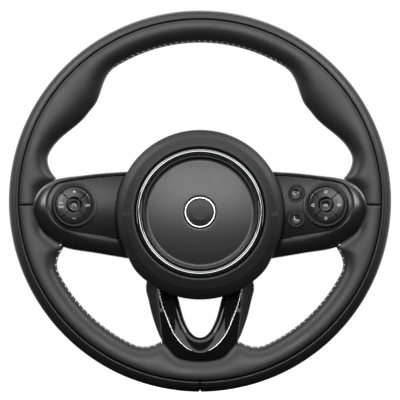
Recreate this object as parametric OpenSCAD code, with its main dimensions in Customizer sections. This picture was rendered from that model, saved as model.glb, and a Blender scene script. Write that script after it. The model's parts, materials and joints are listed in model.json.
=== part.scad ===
// Three-spoke leather car steering wheel with a round airbag module and two switch pods.
// Drawn as seen by the driver: X to the right, Y up the wheel, Z towards the driver,
// with the rear face of the splined hub at Z = 0. placed() turns that into the part's own
// frame: +X right, +Z up, -Y towards the driver, origin on the column axis.

/* [Rim] */
// Outer diameter of the rim
rim_d = 370; // [362:1:380]
// Radial width of the rim's section
rim_w = 31.5; // [30:0.5:33]
// Depth of the rim's section, front to back
rim_t = 29; // [28:0.5:30]
// Height of the rim's middle plane over the hub's rear face
rim_z = 72; // [71:0.5:74]
// Thickness of the leather with its lining
leather_t = 1.4; // [1.1:0.1:1.7]
// Distance from the rim's outer edge to the front seam
seam_inset = 10; // [9:0.25:11]
// Width of the seam's groove
seam_gap = 0.8; // [0.6:0.1:1.2]
// Inward bulge of the thumb grips
grip_h = 15.9; // [10:0.5:18]
// Angle of the thumb grips above the horizontal
grip_angle = 39; // [37:0.5:41]

/* [Armature] */
// Radial width of the cast ring inside the rim
ring_w = 12; // [11:0.25:13]
// Depth of the cast ring inside the rim
ring_t = 10; // [9:0.25:11]
// Wall of the cast ring's channel
ring_wall = 3.2; // [2.8:0.1:3.6]
// Radius of the cast hub's boss
boss_r = 20; // [18.5:0.5:22]
// Radius of the cast hub plate
plate_r = 54; // [53:0.5:55]
// Thickness of the cast hub plate
plate_t = 6; // [5:0.25:7]
// Height of the hub plate's rear face
plate_z = 10; // [9.5:0.25:11]
// Width of each side arm at the rim
arm_w = 24; // [20:1:27]
// Width of each lower leg of the casting
leg_w = 7; // [6:0.5:8]

/* [Column bush] */
// Radius of the bore that takes the steering column
bore_r = 8.6; // [8:0.1:10]
// Length of the steel bush
bush_l = 24; // [22:0.5:26]
// Outer radius of the steel bush
bush_r = 13; // [12:0.25:15]

/* [Airbag module] */
// Drop of the module's centre under the wheel's centre
hub_drop = 12.9; // [12:0.1:14]
// Outer radius of the module's soft cover
cover_r = 83.6; // [83:0.1:84.4]
// Height of the cover's crown over the rim's middle plane
crown_h = 13; // [12.5:0.25:14]
// Wall of the soft cover
cover_t = 2.6; // [2.2:0.1:3]
// Outer radius of the bright ring
trim_ring_r = 64.2; // [63:0.1:65]
// Radial width of the bright ring
trim_ring_w = 6.9; // [6:0.1:7.5]
// Radius of the plain medallion in the centre disc
medallion_r = 15; // [12:0.5:18]
// Radius of the inflator's can
inflator_r = 30; // [28:0.5:30.5]
// Wire diameter of the horn springs
spring_wire = 1.3; // [1:0.1:1.6]
// Stroke of the module when the horn is pressed
horn_stroke = 1.8; // [1.2:0.1:2]

/* [Side spokes] */
// Distance from each switch pod's centre to the spoke's round end
pod_inset = 39.4; // [38.4:0.1:40.6]
// Height of the switch pods over the wheel's centre
pod_y = -5.6; // [-6.6:0.1:-4.6]
// Height of the pod's face over the rim's middle plane
pod_h = 8; // [7:0.25:8.5]
// Slope of the spokes' face towards the hub, in degrees
pod_tilt = 14; // [13:0.5:15]
// Radius that crowns the spokes' face from top to bottom
crown_r = 150; // [130:5:180]
// Wall of the spokes' shells
shell_t = 2.4; // [2:0.1:2.8]

/* [Switches] */
// Radius of the ring of keys
keys_r = 17.9; // [17:0.1:18.6]
// Radius of the centre key
ok_r = 6; // [5.4:0.1:6.4]
// Radius of the small round keys
call_r = 5.7; // [5:0.1:6.2]
// Width of the slots between neighbouring keys
slot_w = 0.9; // [0.6:0.1:1.2]
// Travel of each key
key_stroke = 0.8; // [0.5:0.1:1]
// Radial clearance round each key
key_gap = 0.6; // [0.4:0.1:0.8]

/* [Lower spoke] */
// Wall of the lower spoke's gloss trim
trim_t = 2.2; // [1.8:0.1:2.6]
// Height of the lower trim's ridge over its own faces
ridge_h = 3.4; // [2.6:0.1:4]
// Slope of the lower trim up to the rim, as a ratio
trim_slope = 0.278; // [0.26:0.002:0.29]

/* [Hidden] */
$fn = 64;
eps = 0.01;

// Rim
rim_r = rim_d / 2;
half_w = rim_w / 2;
half_t = rim_t / 2;
sect_r = rim_r - half_w;
inner_r = rim_r - rim_w;
seam_phi = acos((half_w - seam_inset) / half_w);
seam_half = seam_gap / 2 / half_w * 180 / PI;
edge_dip = 0.5;
foam_gap = 0.3;
joint_half = 0.12;
joint_a = -2;
grip_top_run = 16.5;
grip_low_run = 22;
grip_flat = 2;
side_ear_run = [5.5, 9];
lower_ear_run = 9;
fit_gap = 0.4;
notch_z = rim_z - 6;

// Side spokes, as distances back from the spoke's round end and heights over the wheel's centre
end_x = rim_r - 23.8;
root_x = 66;
pod_x = end_x - pod_inset;
spoke_mid_y = -7;
side_top_y = 20;
side_low_y = -46;
face_z = rim_z + pod_h;
lip_w = 2.6;
panel_t = 2.5;
panel_recess = 0.9;
ledge_w = 1.6;
ledge_t = 1.6;
skirt_d = 8;
back_gap = 1;
seat_gap = 0.1;
// each row: outer edge x, y, crest x, y, drop of the outer edge under the crest
function spoke_table() = [
    [root_x, 29.3, root_x, 27.6, 6],
    [lerp(root_x, end_x, 0.28), 27.1, lerp(root_x, end_x, 0.28), 25.4, 6],
    [lerp(root_x, end_x, 0.5), 24.3, lerp(root_x, end_x, 0.5), 22.4, 6],
    [end_x - 29, 21.6, end_x - 30, 19, 5.6],
    [end_x - 14, 16.8, end_x - 20.5, 14.6, 4.8],
    [end_x - 4.4, 7.1, end_x - 14.4, 6, 4.2],
    [end_x, -6.5, end_x - 12.2, -5.6, 4],
    [end_x - 2.7, -19, end_x - 15.7, -17, 4.4],
    [end_x - 11, -32.2, end_x - 23.7, -26.3, 5.6],
    [end_x - 29.2, -45.5, end_x - 38.5, -33, 8],
    [lerp(root_x, end_x, 0.36), -51.1, lerp(root_x, end_x, 0.36), -36.8, 9],
    [root_x, -56.5, root_x, -41.2, 9]];

// Lower spoke, left half. Each row: back shell's edge, trim's edge, ridge, window, as x and height
// down from the wheel's centre. down() stretches them between the hub and the rim's inner edge
function down(y) = let (root = 62, table_r = 153.5)
    -y < root ? y : -root + (y + root) * (inner_r - root) / (table_r - root);
function lower_table() = [
    for (r = [
        [-48, -62, -44, -64, -42, -66, -27.5, -70],
        [-52.9, -82.5, -41.8, -86.5, -39.3, -88, -22.8, -89],
        [-50.3, -95.8, -40.8, -98, -37, -99.5, -20, -98.5],
        [-45.1, -115.8, -38.6, -117, -32, -114, -15.8, -114],
        [-36.4, -136.5, -35.6, -136.2, -25.4, -129, -10.8, -125],
        [-25.4, -146, -25.8, -147.6, -16.6, -140, -6.4, -130.4],
        [-12.5, -150, -12.9, -154, -8, -145.6, -3.1, -132.4],
        [0, -151, 0, -155.8, 0, -147.6, 0, -132.9]])
        [for (i = [0 : 7]) i % 2 == 1 ? down(r[i]) : r[i]]];
lower_ear_x = 36.9;
trim_base_z = rim_z - 1.2;
trim_base_y = -96.5; // under the centre
trim_skirt = 5;
window_wall = 14;
window_lip = 5;
bead_h = 0.5;
bead_w = 1.1;

rib_l = 7.5;

// Airbag module
hub_y = -hub_drop;
crown_z = rim_z + crown_h;
flange_z = rim_z + 1.6;
seat_z = crown_z - 4.8;
membrane_t = 2.4;
groove_gap = 0.4;
disc_r = trim_ring_r - trim_ring_w - 0.7;
skirt_r = trim_ring_r - 3.7;
skirt_bottom_z = 51;
housing_r = skirt_r - cover_t - 0.2;
housing_z = 44;
housing_t = 1.6;
housing_top_z = 60;
inflator_z = 34;
inflator_top_z = 60;
inflator_flange_t = 1.7;
stud_circle_r = inflator_r + 5.6;
stud_r = 2.5;
stud_gap = 0.2;
nut_r = 4.5;
nut_h = 3.6;
retainer_w = 9.8;
retainer_t = 2;
guide_circle_r = 46;
guide_r = 3;
guide_hole_gap = 0.35;
spring_r = 5;
spring_turns = 3.5;
recess_gap = 0.5;
medallion_seat = 1.6;

// Back cover
bowl_top_z = rim_z - 2.5;
bowl_t = 2.5;
bowl_z = 2;
column_hole_r = 35;
screw_circle_r = 48;
screw_r = 2;
screw_head_r = 4;
screw_head_h = 2.2;

// Switches, in the pod's own frame with z = 0 on the spoke's face
bezel_w = 2.6;
bezel_top = 1.6;
bezel_r = keys_r + key_gap + bezel_w;
well_depth = 12.5;
base_t = 1.5;
lip_depth = 2.4;
key_flange = 1.3;
key_bottom = -3.5;
key_chamfer = 2.5;
stem_end = -7.5;
stem_w = 3;
mat_top = -8.7;
mat_t = 0.8;
board_t = 1.5;
call_pos = [[-29.7, 12], [-29.3, -12.4]];
call_bezel_w = 2.2;
call_bezel_r = call_r + key_gap + call_bezel_w;
hole_gap = 0.3;
well_gap = ok_r + 1.4;

function lerp(a, b, t) = a + (b - a) * t;
function clamp01(t) = min(1, max(0, t));
function ease(t) = (1 - cos(180 * clamp01(t))) / 2;
function unit(v) = v / max(norm(v), 1e-6);

// Smooth curve through every row of a table, with n steps from row to row
function curve(rows, n) = [
    for (i = [0 : len(rows) - 2])
        let (p0 = rows[max(i - 1, 0)], p1 = rows[i], p2 = rows[i + 1], p3 = rows[min(i + 2, len(rows) - 1)])
            for (k = [0 : n - 1])
                let (t = k / n)
                    0.5 * (2 * p1 + (p2 - p0) * t + (2 * p0 - 5 * p1 + 4 * p2 - p3) * t * t
                        + (3 * p1 - p0 - 3 * p2 + p3) * t * t * t),
    rows[len(rows) - 1]];

// Angle above the horizontal on either side of the wheel, from -90 at the bottom to 90 at the top
function fold(a) = let (m = ((a % 360) + 360) % 360) m > 270 ? m - 360 : (m > 90 ? 180 - m : m);

// How far the rim's inner edge stands in from its plain circle at a folded angle
function grip_bulge(f) = grip_h * (
    f > grip_angle ? 1 - ease((f - grip_angle - grip_flat) / grip_top_run)
        : 1 - ease((grip_angle - grip_flat - f) / grip_low_run));
function ear(u, h, out_run, in_run, rest) =
    u >= 0 ? h * pow(max(0, 1 - u / out_run), 2) : rest + (h - rest) * ease(1 + u / in_run);
ear_h = 13.6;
ear_r = inner_r - ear_h;
side_top_a = asin(side_top_y / ear_r);
side_low_a = asin(side_low_y / ear_r);
lower_ear_h = 12.4;
lower_ear_a = asin(lower_ear_x / (inner_r - lower_ear_h)) - 90;
function inner_pull(f) =
    f > (side_top_a + side_low_a) / 2 ? max(grip_bulge(f), ear(f - side_top_a, ear_h, 8.5, side_ear_run[0], 2.4))
        : f > -50 ? ear(side_low_a - f, ear_h + 0.5, 8, side_ear_run[1], 2.4)
            : ear(f - lower_ear_a, lower_ear_h, 9.5, lower_ear_run, 1.6);

// Point on the rim's skin at wheel angle a and section angle phi (0 outwards, 90 to the driver)
function skin(a, phi, inset) =
    let (w = cos(phi) >= 0 ? half_w : half_w + inner_pull(fold(a)))
        let (rho = sect_r + (w - inset) * cos(phi))
            [rho * cos(a), rho * sin(a), rim_z + (half_t - inset) * sin(phi)];

// Wheel angles at which the rim's section is drawn: closer together where the inner edge bends
stops = let (quarter = concat(
    [for (f = [-90 : 6 : -78]) f], [for (f = [-75 : 2.5 : -65]) f], [for (f = [-60 : 5 : -30]) f],
    [for (f = [-26 : 2.5 : -13.5]) f], [-9, -5, 0, 4], [for (f = [6.5 : 2.5 : 59]) f], [64, 71, 78, 84]))
    concat([for (f = quarter) if (f >= 0) f], [90], [for (i = [len(quarter) - 1 : -1 : 0]) 180 - quarter[i]],
        [for (f = quarter) if (f > -90 && f < 0) 360 + f]);
function between(a0, a1) = concat([a0], [for (a = stops) if (a > a0 + 1 && a < a1 - 1) a], [a1]);

// Section angles of the leather, from edge to edge round the inner side
skin_count = 13;
function skin_phi(i) =
    let (phi0 = seam_phi + seam_half) lerp(phi0, 360 - phi0, i / (skin_count - 1));

// Solid through a row of closed loops. Each loop is an outer run and then an inner run back,
// with as many points, so that the end caps are strips between the two runs. turned is for loops
// that run the other way round
module swept(loops, ring = false, turned = false) {
    n = len(loops[0]);
    m = len(loops);
    wall = [
        for (k = [0 : m - (ring ? 1 : 2)])
            for (j = [0 : n - 1])
                let (a = k * n + j, b = k * n + (j + 1) % n,
                    c = ((k + 1) % m) * n + (j + 1) % n, d = ((k + 1) % m) * n + j)
                    each [[a, b, c], [a, c, d]]];
    last = (m - 1) * n;
    caps = ring ? [] : [
        for (j = [0 : n / 2 - 2])
            each [[j + 1, j, n - 1 - j], [j + 1, n - 1 - j, n - 2 - j],
                [last + j, last + j + 1, last + n - 1 - j], [last + n - 1 - j, last + j + 1, last + n - 2 - j]]];
    faces = [for (f = concat(wall, caps)) turned ? [f[2], f[1], f[0]] : f];
    polyhedron([for (l = loops) each l], faces, convexity = 12);
}

// Solid of a closed outline between two heights
module prism(points, z0, z1) {
    translate([0, 0, z0]) linear_extrude(z1 - z0) polygon(points);
}

module ring_solid(r_out, r_in, z0, z1) {
    difference() {
        translate([0, 0, z0]) cylinder(r = r_out, h = z1 - z0);
        translate([0, 0, z0 - 1]) cylinder(r = r_in, h = z1 - z0 + 2);
    }
}

module placed() {
    rotate([90, 0, 0]) children();
}

module mirrored(side) {
    if (side > 0) children();
    else mirror([1, 0, 0]) children();
}

// Outline helpers of the side spoke, right side
function spoke_rows(n) = curve(spoke_table(), n);
function grown(p, q, g) = p - unit(q - p) * g;
function spoke_outline(g, n = 3) = [
    for (r = spoke_rows(n)) grown([r[0], r[1]], [r[2], r[3]], g)];
// Height of the spoke's crowned face, or of the surface that lies d under it
function spoke_face(x, y, d = 0) =
    face_z + (x - pod_x) * tan(pod_tilt)
        - (crown_r - sqrt(pow(crown_r - d, 2) - pow(y - spoke_mid_y, 2))) / cos(pod_tilt);

// Rear shell of the side spoke: x, top edge, bottom edge, height of the back, corner, highest edge
spoke_back_table = [
    [root_x - 4, 29, -56.2, 28, 9, face_z], [lerp(root_x, end_x, 0.28), 26.7, -51.8, 36.5, 9, face_z],
    [lerp(root_x, end_x, 0.5), 23.8, -48.6, 42.5, 9, face_z], [end_x - 30.2, 20.8, -44.4, 48, 9, face_z],
    [end_x - 22, 17.6, -41.4, 52, 8, face_z], [inner_r - 4, 14, -32, 57.5, 5, face_z],
    [inner_r + 3.5, 11, -28, 60.5, 3, notch_z - 0.4]];
function spoke_back_z(x) = lookup(x, [for (r = spoke_back_table) [r[0], r[3]]]);
function spoke_back_outline(g) = let (t = spoke_back_table, last = len(t) - 1) concat(
    [for (i = [0 : last]) [t[i][0] + (i == last ? g : 0), t[i][1] + g]],
    [for (i = [last : -1 : 0]) [t[i][0] + (i == last ? g : 0), t[i][2] - g]]);
// Height at which the front shell's skirt ends, above and below the spoke
function skirt_end(x, upper) =
    let (t = spoke_table())
        lookup(x, [
            for (i = upper ? [0 : 6] : [11 : -1 : 6])
                let (r = t[i]) [r[0], spoke_face(r[2], r[3]) + panel_recess - r[4] - skirt_d]]);
// Outer section of the rear shell at one row of its table, grown by g
function spoke_back_section(row, g) =
    let (top = row[1] + g, low = row[2] - g, zk = row[3] - g, r = row[4],
        zt = max(min(skirt_end(row[0], true) - back_gap, row[5]), zk + r + 1),
        zl = max(min(skirt_end(row[0], false) - back_gap, row[5]), zk + r + 1))
        [[top, zt], [top - 0.1 * r, zk + r], [top - 0.35 * r, zk + 0.35 * r], [top - r, zk],
            [low + r, zk], [low + 0.35 * r, zk + 0.35 * r], [low + 0.1 * r, zk + r], [low, zl]];
// Height of the back of the lower spoke
function lower_back_z(y) = 30 + max(0, -y - 76) * 0.43;

function lower_rows(n) =
    let (left = lower_table())
        curve([
            for (r = left) r,
            for (i = [len(left) - 2 : -1 : 0])
                let (r = left[i]) [-r[0], r[1], -r[2], r[3], -r[4], r[5], -r[6], r[7]]], n);
function lower_outline(g, n = 3) = [
    for (r = lower_rows(n)) grown([r[2], r[3]], [r[4], r[5]], g)];
function lower_back_outline(g, n = 3) = [
    for (r = lower_rows(n)) grown([r[0], r[1]], [r[6], r[7]], g)];
function window_outline(g, n = 3) = [
    for (r = lower_rows(n)) grown([r[6], r[7]], [r[0], r[1]], g)];
function ridge_z(y) = trim_base_z + (trim_base_y - y) * trim_slope;

module spoke_notches() {
    for (side = [-1, 1])
        mirrored(side) {
            prism(spoke_outline(fit_gap), notch_z, rim_z + half_t + 5);
            prism(spoke_back_outline(fit_gap), rim_z - half_t - 5, notch_z + 4);
        }
    prism(lower_outline(fit_gap), notch_z, rim_z + half_t + 5);
    prism(lower_back_outline(fit_gap), rim_z - half_t - 5, notch_z + 1);
    arms(fit_gap);
}

module rim_skin(a0, a1) {
    loops = [
        for (a = between(a0, a1))
            concat(
                [for (i = [0 : skin_count - 1])
                    skin(a, skin_phi(i), i == 0 || i == skin_count - 1 ? edge_dip : 0)],
                [for (i = [skin_count - 1 : -1 : 0]) skin(a, skin_phi(i), leather_t)])];
    difference() {
        swept(loops);
        spoke_notches();
    }
}

module upper_rim_leather() {
    color("#2b2b2d") rim_skin(joint_a + joint_half, 180 - joint_a - joint_half);
}

module lower_rim_leather() {
    color("#2b2b2d") rim_skin(180 - joint_a + joint_half, 360 + joint_a - joint_half);
}

module rim_band() {
    count = 14;
    phi1 = seam_phi - seam_half;
    function at(phi, inset) = [sect_r + (half_w - inset) * cos(phi), (half_t - inset) * sin(phi)];
    color("#262628")
        translate([0, 0, rim_z])
            rotate([0, 0, joint_half - 90])
                rotate_extrude(angle = 360 - 2 * joint_half, $fn = 180)
                    polygon(concat(
                        [for (i = [0 : count])
                            at(lerp(-phi1, phi1, i / count), i == 0 || i == count ? edge_dip : 0)],
                        [for (i = [count : -1 : 0]) at(lerp(-phi1, phi1, i / count), leather_t)]));
}

module rim_foam() {
    outer = [-seam_phi, -seam_phi / 2, 0, seam_phi / 2];
    color("#6b6459")
        difference() {
            swept([
                for (a = stops)
                    concat([for (i = [0 : skin_count - 2]) skin(a, skin_phi(i), leather_t + foam_gap)],
                        [for (phi = outer) skin(a, phi, leather_t + foam_gap)])],
                ring = true);
            cast_ring(0.05);
            spoke_notches();
        }
}

// Channel section of the cast ring, open to the back
module cast_ring(g) {
    w = ring_w / 2 + g;
    t = ring_t / 2 + g;
    groove = ring_w / 2 - ring_wall - g;
    translate([0, 0, rim_z])
        rotate_extrude($fn = 180)
            polygon([
                [sect_r - w, -t], [sect_r - groove, -t], [sect_r - groove + 1, ring_t / 2 - ring_wall - g],
                [sect_r + groove - 1, ring_t / 2 - ring_wall - g], [sect_r + groove, -t],
                [sect_r + w, -t], [sect_r + w, t], [sect_r - w, t]]);
}

// The casting's side arms and lower legs, grown by g for the pockets that they pass through
module arms(g) {
    in_ring_x = sect_r - ring_w / 2 + 1;
    in_ring_y = sect_r - ring_w / 2 - 1.5;
    arm_top = spoke_mid_y + arm_w / 2 + g;
    mid_x = lerp(root_x, end_x, 0.5);
    function floor_z(x) = spoke_back_z(x) + shell_t + 1 - g;
    for (side = [-1, 1])
        mirrored(side)
            translate([0, arm_top, 0])
                rotate([90, 0, 0])
                    linear_extrude(arm_w + 2 * g)
                        polygon([
                            [28, plate_z + 1], [45, plate_z + 6 - g], [root_x - 5, floor_z(root_x)], [mid_x, floor_z(mid_x)],
                            [end_x - 26, floor_z(end_x - 26)], [inner_r - 10, floor_z(inner_r - 10) + 1],
                            [inner_r - 2, rim_z - 5 - g], [in_ring_x, rim_z - 4 - g], [in_ring_x, rim_z + 1 + g], [end_x - 11, rim_z + 1 + g],
                            [end_x - 28, floor_z(end_x - 26) + 6 + 2 * g], [mid_x, floor_z(mid_x) + 7 + 2 * g],
                            [root_x - 6, floor_z(root_x) + 8 + 2 * g], [45, plate_z + plate_t + 9 + g],
                            [28, plate_z + plate_t - 1]]);
    function leg_z(y) = lower_back_z(y) + shell_t + 1 - g;
    plan = [[33, -30], [33.5, down(-76)], [28, down(-100)], [25, down(-115)], [23.5, down(-132)],
        [23.5, -in_ring_y]];
    function leg(y, dz) = [down(y), leg_z(down(y)) + dz];
    for (side = [-1, 1])
        mirrored(side)
            intersection() {
                translate([15, 0, 0])
                    rotate([90, 0, 90])
                        linear_extrude(40)
                            polygon([
                                [-38, plate_z + plate_t], [-49, plate_z + plate_t + 11 + g], leg(-61, 7 + 2 * g),
                                leg(-76, 7 + 2 * g), leg(-100, 7 + 2 * g),
                                leg(-132, 10 + 2 * g), [3 - inner_r, rim_z + 1 + g],
                                [-in_ring_y, rim_z + 1 + g], [-in_ring_y, rim_z - 4 - g], [2 - inner_r, rim_z - 5 - g],
                                [10 - inner_r, rim_z - 6 - g], leg(-132, 2.8), leg(-124, 1.6), leg(-115, 0.8),
                                leg(-100, 0), leg(-76, 0), leg(-62, 0), [-51, plate_z + 8 - g], [-40, plate_z]]);
                prism(concat([for (q = plan) [q[0] - g, q[1]]],
                    [for (i = [len(plan) - 1 : -1 : 0]) [plan[i][0] + leg_w + g, plan[i][1]]]), 0, 100);
            }
}

module guide_places() {
    for (a = [90, 200, 340])
        translate([guide_circle_r * cos(a), hub_y + guide_circle_r * sin(a), 0]) children();
}

module screw_places() {
    for (a = [30, 150, 270])
        translate([screw_circle_r * cos(a), hub_y + screw_circle_r * sin(a), 0]) children();
}

module armature() {
    color("#a8abad")
        difference() {
            union() {
                cast_ring(0);
                arms(0);
                translate([0, hub_y, plate_z]) cylinder(r = plate_r, h = plate_t);
                cylinder(r = boss_r, h = bush_l);
                hub_ribs();
            }
            translate([0, 0, -1]) cylinder(r = bush_r, h = bush_l + 2);
            guide_places() translate([0, 0, plate_z - 1])
                cylinder(r = guide_r + guide_hole_gap, h = plate_t + 20);
            screw_places() translate([0, 0, plate_z - 1]) cylinder(r = screw_r + 0.1, h = plate_t + 20);
            for (a = [0, 60, 120, 180])
                translate([0, hub_y, plate_z - 1])
                    rotate([0, 0, a])
                        translate([38, 0, 0]) cylinder(r = 5, h = plate_t + 20);
        }
}

module hub_ribs() {
    for (a = [90 : 60 : 390])
        rotate([0, 0, a])
            translate([boss_r - 2, -1.5, plate_z + 1])
                rotate([90, 0, 90])
                    linear_extrude(rib_l) square([3, plate_t + 3]);
}

module hub_bush() {
    color("#7d8084")
        difference() {
            cylinder(r = bush_r, h = bush_l);
            translate([0, 0, -1]) cylinder(r = bore_r, h = bush_l + 2);
        }
}

module back_cover() {
    cut = spoke_back_section(spoke_back_table[0], fit_gap);
    bowl_cut = concat([[cut[0][0], rim_z + 20]], cut, [[cut[7][0], rim_z + 20]]);
    bowl = [[bowl_top_z, 79], [50, 77], [18, 67], [7, 61.5], [bowl_z, 55]];
    color("#232325")
        difference() {
            union() {
                translate([0, hub_y, 0])
                    rotate_extrude($fn = 128)
                        polygon([
                            for (p = bowl) [p[1], p[0]],
                            [30, bowl_z], [30, bowl_z + bowl_t], [54, bowl_z + bowl_t],
                            for (i = [len(bowl) - 2 : -1 : 0])
                                [bowl[i][1] - bowl_t, bowl[i][0] + (i == 0 ? 0 : 1)]]);
                translate([0, hub_y, bowl_z]) cylinder(r = 31, h = bowl_t);
                screw_places() ring_solid(screw_head_r + 1.5, screw_r + 0.4, bowl_z, plate_z - 0.2);
            }
            translate([0, 0, bowl_z - 1]) cylinder(r = column_hole_r, h = bowl_t + 2);
            screw_places() translate([0, 0, bowl_z - 1]) cylinder(r = screw_r + 0.4, h = bowl_t + 2);
            for (side = [-1, 1])
                mirrored(side)
                    translate([root_x - 16, 0, 0])
                        rotate([90, 0, 90])
                            linear_extrude(60) polygon(bowl_cut);
            difference() {
                prism(lower_back_outline(fit_gap), lower_back_z(-76) - fit_gap, rim_z + 20);
                prism(window_outline(fit_gap), 0, rim_z + 30);
            }
        }
}

module back_cover_screws() {
    color("#8c8f92")
        screw_places() {
            difference() {
                translate([0, 0, bowl_z - screw_head_h]) cylinder(r = screw_head_r, h = screw_head_h);
                translate([0, 0, bowl_z - screw_head_h - 1]) cylinder(r = 1.8, h = 2.2, $fn = 6);
            }
            translate([0, 0, bowl_z - eps]) cylinder(r = screw_r, h = plate_z + plate_t - bowl_z - 1);
        }
}

// Front shell of a side spoke: a lip round the panel, rounded down to a skirt
module spoke_shell() {
    loops = [
        for (r = spoke_rows(4))
            let (po = [r[0], r[1]], pc = [r[2], r[3]], u = unit(pc - po), w = norm(pc - po),
                crest = spoke_face(pc[0], pc[1]) + panel_recess, ze = crest - r[4], zp = ze - skirt_d,
                rail = function (q, z) [po[0] + u[0] * q, po[1] + u[1] * q, z],
                inner = w + lip_w + ledge_w,
                under = function (q, d, gap) [po[0] + u[0] * q, po[1] + u[1] * q,
                    spoke_face(po[0] + u[0] * q, po[1] + u[1] * q, d) - gap],
                zl = under(inner, panel_t, seat_gap)[2],
                hollow = clamp01((w + lip_w - 2 * shell_t) / 2), wh = max(w + lip_w - 2 * shell_t, eps),
                zb = min(ze, zl - ledge_t) - 0.5, hh = max((crest - shell_t - zb) * hollow, eps))
                concat(
                    [rail(0, zp), rail(0, ze), rail(w * (1 - cos(30)), lerp(ze, crest, sin(30))),
                        rail(w * (1 - cos(60)), lerp(ze, crest, sin(60))), rail(w, crest),
                        under(w + lip_w, 0, 0), under(w + lip_w, panel_t, seat_gap), rail(inner, zl)],
                    [rail(inner, zl - ledge_t), rail(shell_t + wh + 2 * eps, zl - ledge_t),
                        rail(shell_t + wh + eps, lerp(zl - ledge_t, zb + hh, 0.5 * hollow)),
                        rail(shell_t + wh, zb + hh), rail(shell_t + wh * (1 - cos(60)), zb + hh * sin(60)),
                        rail(shell_t + wh * (1 - cos(30)), zb + hh * sin(30)), rail(shell_t, zb),
                        rail(shell_t, zp)])];
    swept(loops, turned = true);
}

module left_spoke_shell() {
    color("#1d1d1f") mirror([1, 0, 0]) spoke_shell();
}

module right_spoke_shell() {
    color("#1d1d1f") spoke_shell();
}

// Crowned, tilted slab between two depths under the spoke's face
module face_slab(d0, d1) {
    pod_frame()
        translate([-90, spoke_mid_y - pod_y, -crown_r])
            rotate([0, 90, 0])
                difference() {
                    cylinder(r = crown_r - d0, h = 160, $fn = 200);
                    translate([0, 0, -1]) cylinder(r = crown_r - d1, h = 162, $fn = 200);
                }
}

module pod_frame() {
    translate([pod_x, pod_y, face_z]) rotate([0, -pod_tilt, 0]) children();
}

module spoke_panel(call_holes) {
    rows = spoke_rows(4);
    inset = lip_w + 0.3;
    outline = [
        for (r = rows)
            let (po = [r[0], r[1]], pc = [r[2], r[3]]) pc + unit(pc - po) * inset];
    difference() {
        intersection() {
            prism(outline, rim_z - 40, rim_z + 40);
            face_slab(0, panel_t);
        }
        pod_frame() translate([0, 0, -20]) cylinder(r = bezel_r + hole_gap, h = 40);
        if (call_holes)
            pod_frame()
                for (p = call_pos)
                    translate([p[0], p[1], -20]) cylinder(r = call_bezel_r + hole_gap, h = 40);
    }
}

module left_spoke_panel() {
    color("#232325") mirror([1, 0, 0]) spoke_panel(false);
}

module right_spoke_panel() {
    color("#232325") spoke_panel(true);
}

// Rear shell of a side spoke, a channel that tapers to the rim
module spoke_back() {
    loops = [
        for (row = spoke_back_table)
            let (q = spoke_back_section(row, 0), t = shell_t, x = row[0], n = 8)
                concat(
                    [for (i = [0 : n - 1]) [x, q[i][0], q[i][1]]],
                    [for (i = [n - 1 : -1 : 0])
                        let (side = i < 4 ? -1 : 1, k = min(i, n - 1 - i), lift = [0, 0, 0.6, 1][k] * t,
                            move = [1, 1, 0.8, 0][k] * t)
                            [x, q[i][0] + side * move, q[i][1] + lift]])];
    swept(loops);
}

module left_spoke_back() {
    color("#232325") mirror([1, 0, 0]) spoke_back();
}

module right_spoke_back() {
    color("#232325") spoke_back();
}

// Gloss trim of the lower spoke: two faces that meet at a ridge, a skirt, and the window's wall
module lower_spoke_trim() {
    loops = [
        for (r = lower_rows(3))
            let (po = [r[2], r[3]], pr = [r[4], r[5]], ph = [r[6], r[7]], u = unit(pr - po), v = unit(ph - pr),
                zr = ridge_z(pr[1]), zo = zr - ridge_h, zh = zr - ridge_h * 0.8, t = trim_t,
                at = function (p, z) [p[0], p[1], z])
                concat(
                    [at(po, zo - trim_skirt), at(po, zo), at(po + u * 0.8, zo + 0.6),
                        at(pr - u * bead_w, zr - 0.2), at(pr, zr + bead_h), at(pr + v * bead_w, zr - 0.2),
                        at(ph - v * window_lip, zh), at(ph - v * window_lip * 0.45, zh - window_lip * 0.35),
                        at(ph - v * window_lip * 0.1, zh - window_lip * 0.9), at(ph, zh - window_lip * 1.3),
                        at(ph, zh - window_wall)],
                    [at(ph - v * t, zh - window_wall), at(ph - v * t, zh - window_lip * 1.3),
                        at(ph - v * (window_lip * 0.1 + t), zh - window_lip * 0.9 - 0.2 * t),
                        at(ph - v * (window_lip * 0.45 + 0.7 * t), zh - window_lip * 0.35 - 0.7 * t),
                        at(ph - v * window_lip, zh - t),
                        at(pr + v * bead_w, zr - 0.2 - t), at(pr, zr - t), at(pr - u * bead_w, zr - 0.2 - t),
                        at(po + u * t, zo - t + 0.8), at(po + u * t, zo - t), at(po + u * t, zo - trim_skirt)])];
    color("#0b0b0c") swept(loops);
}

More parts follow.
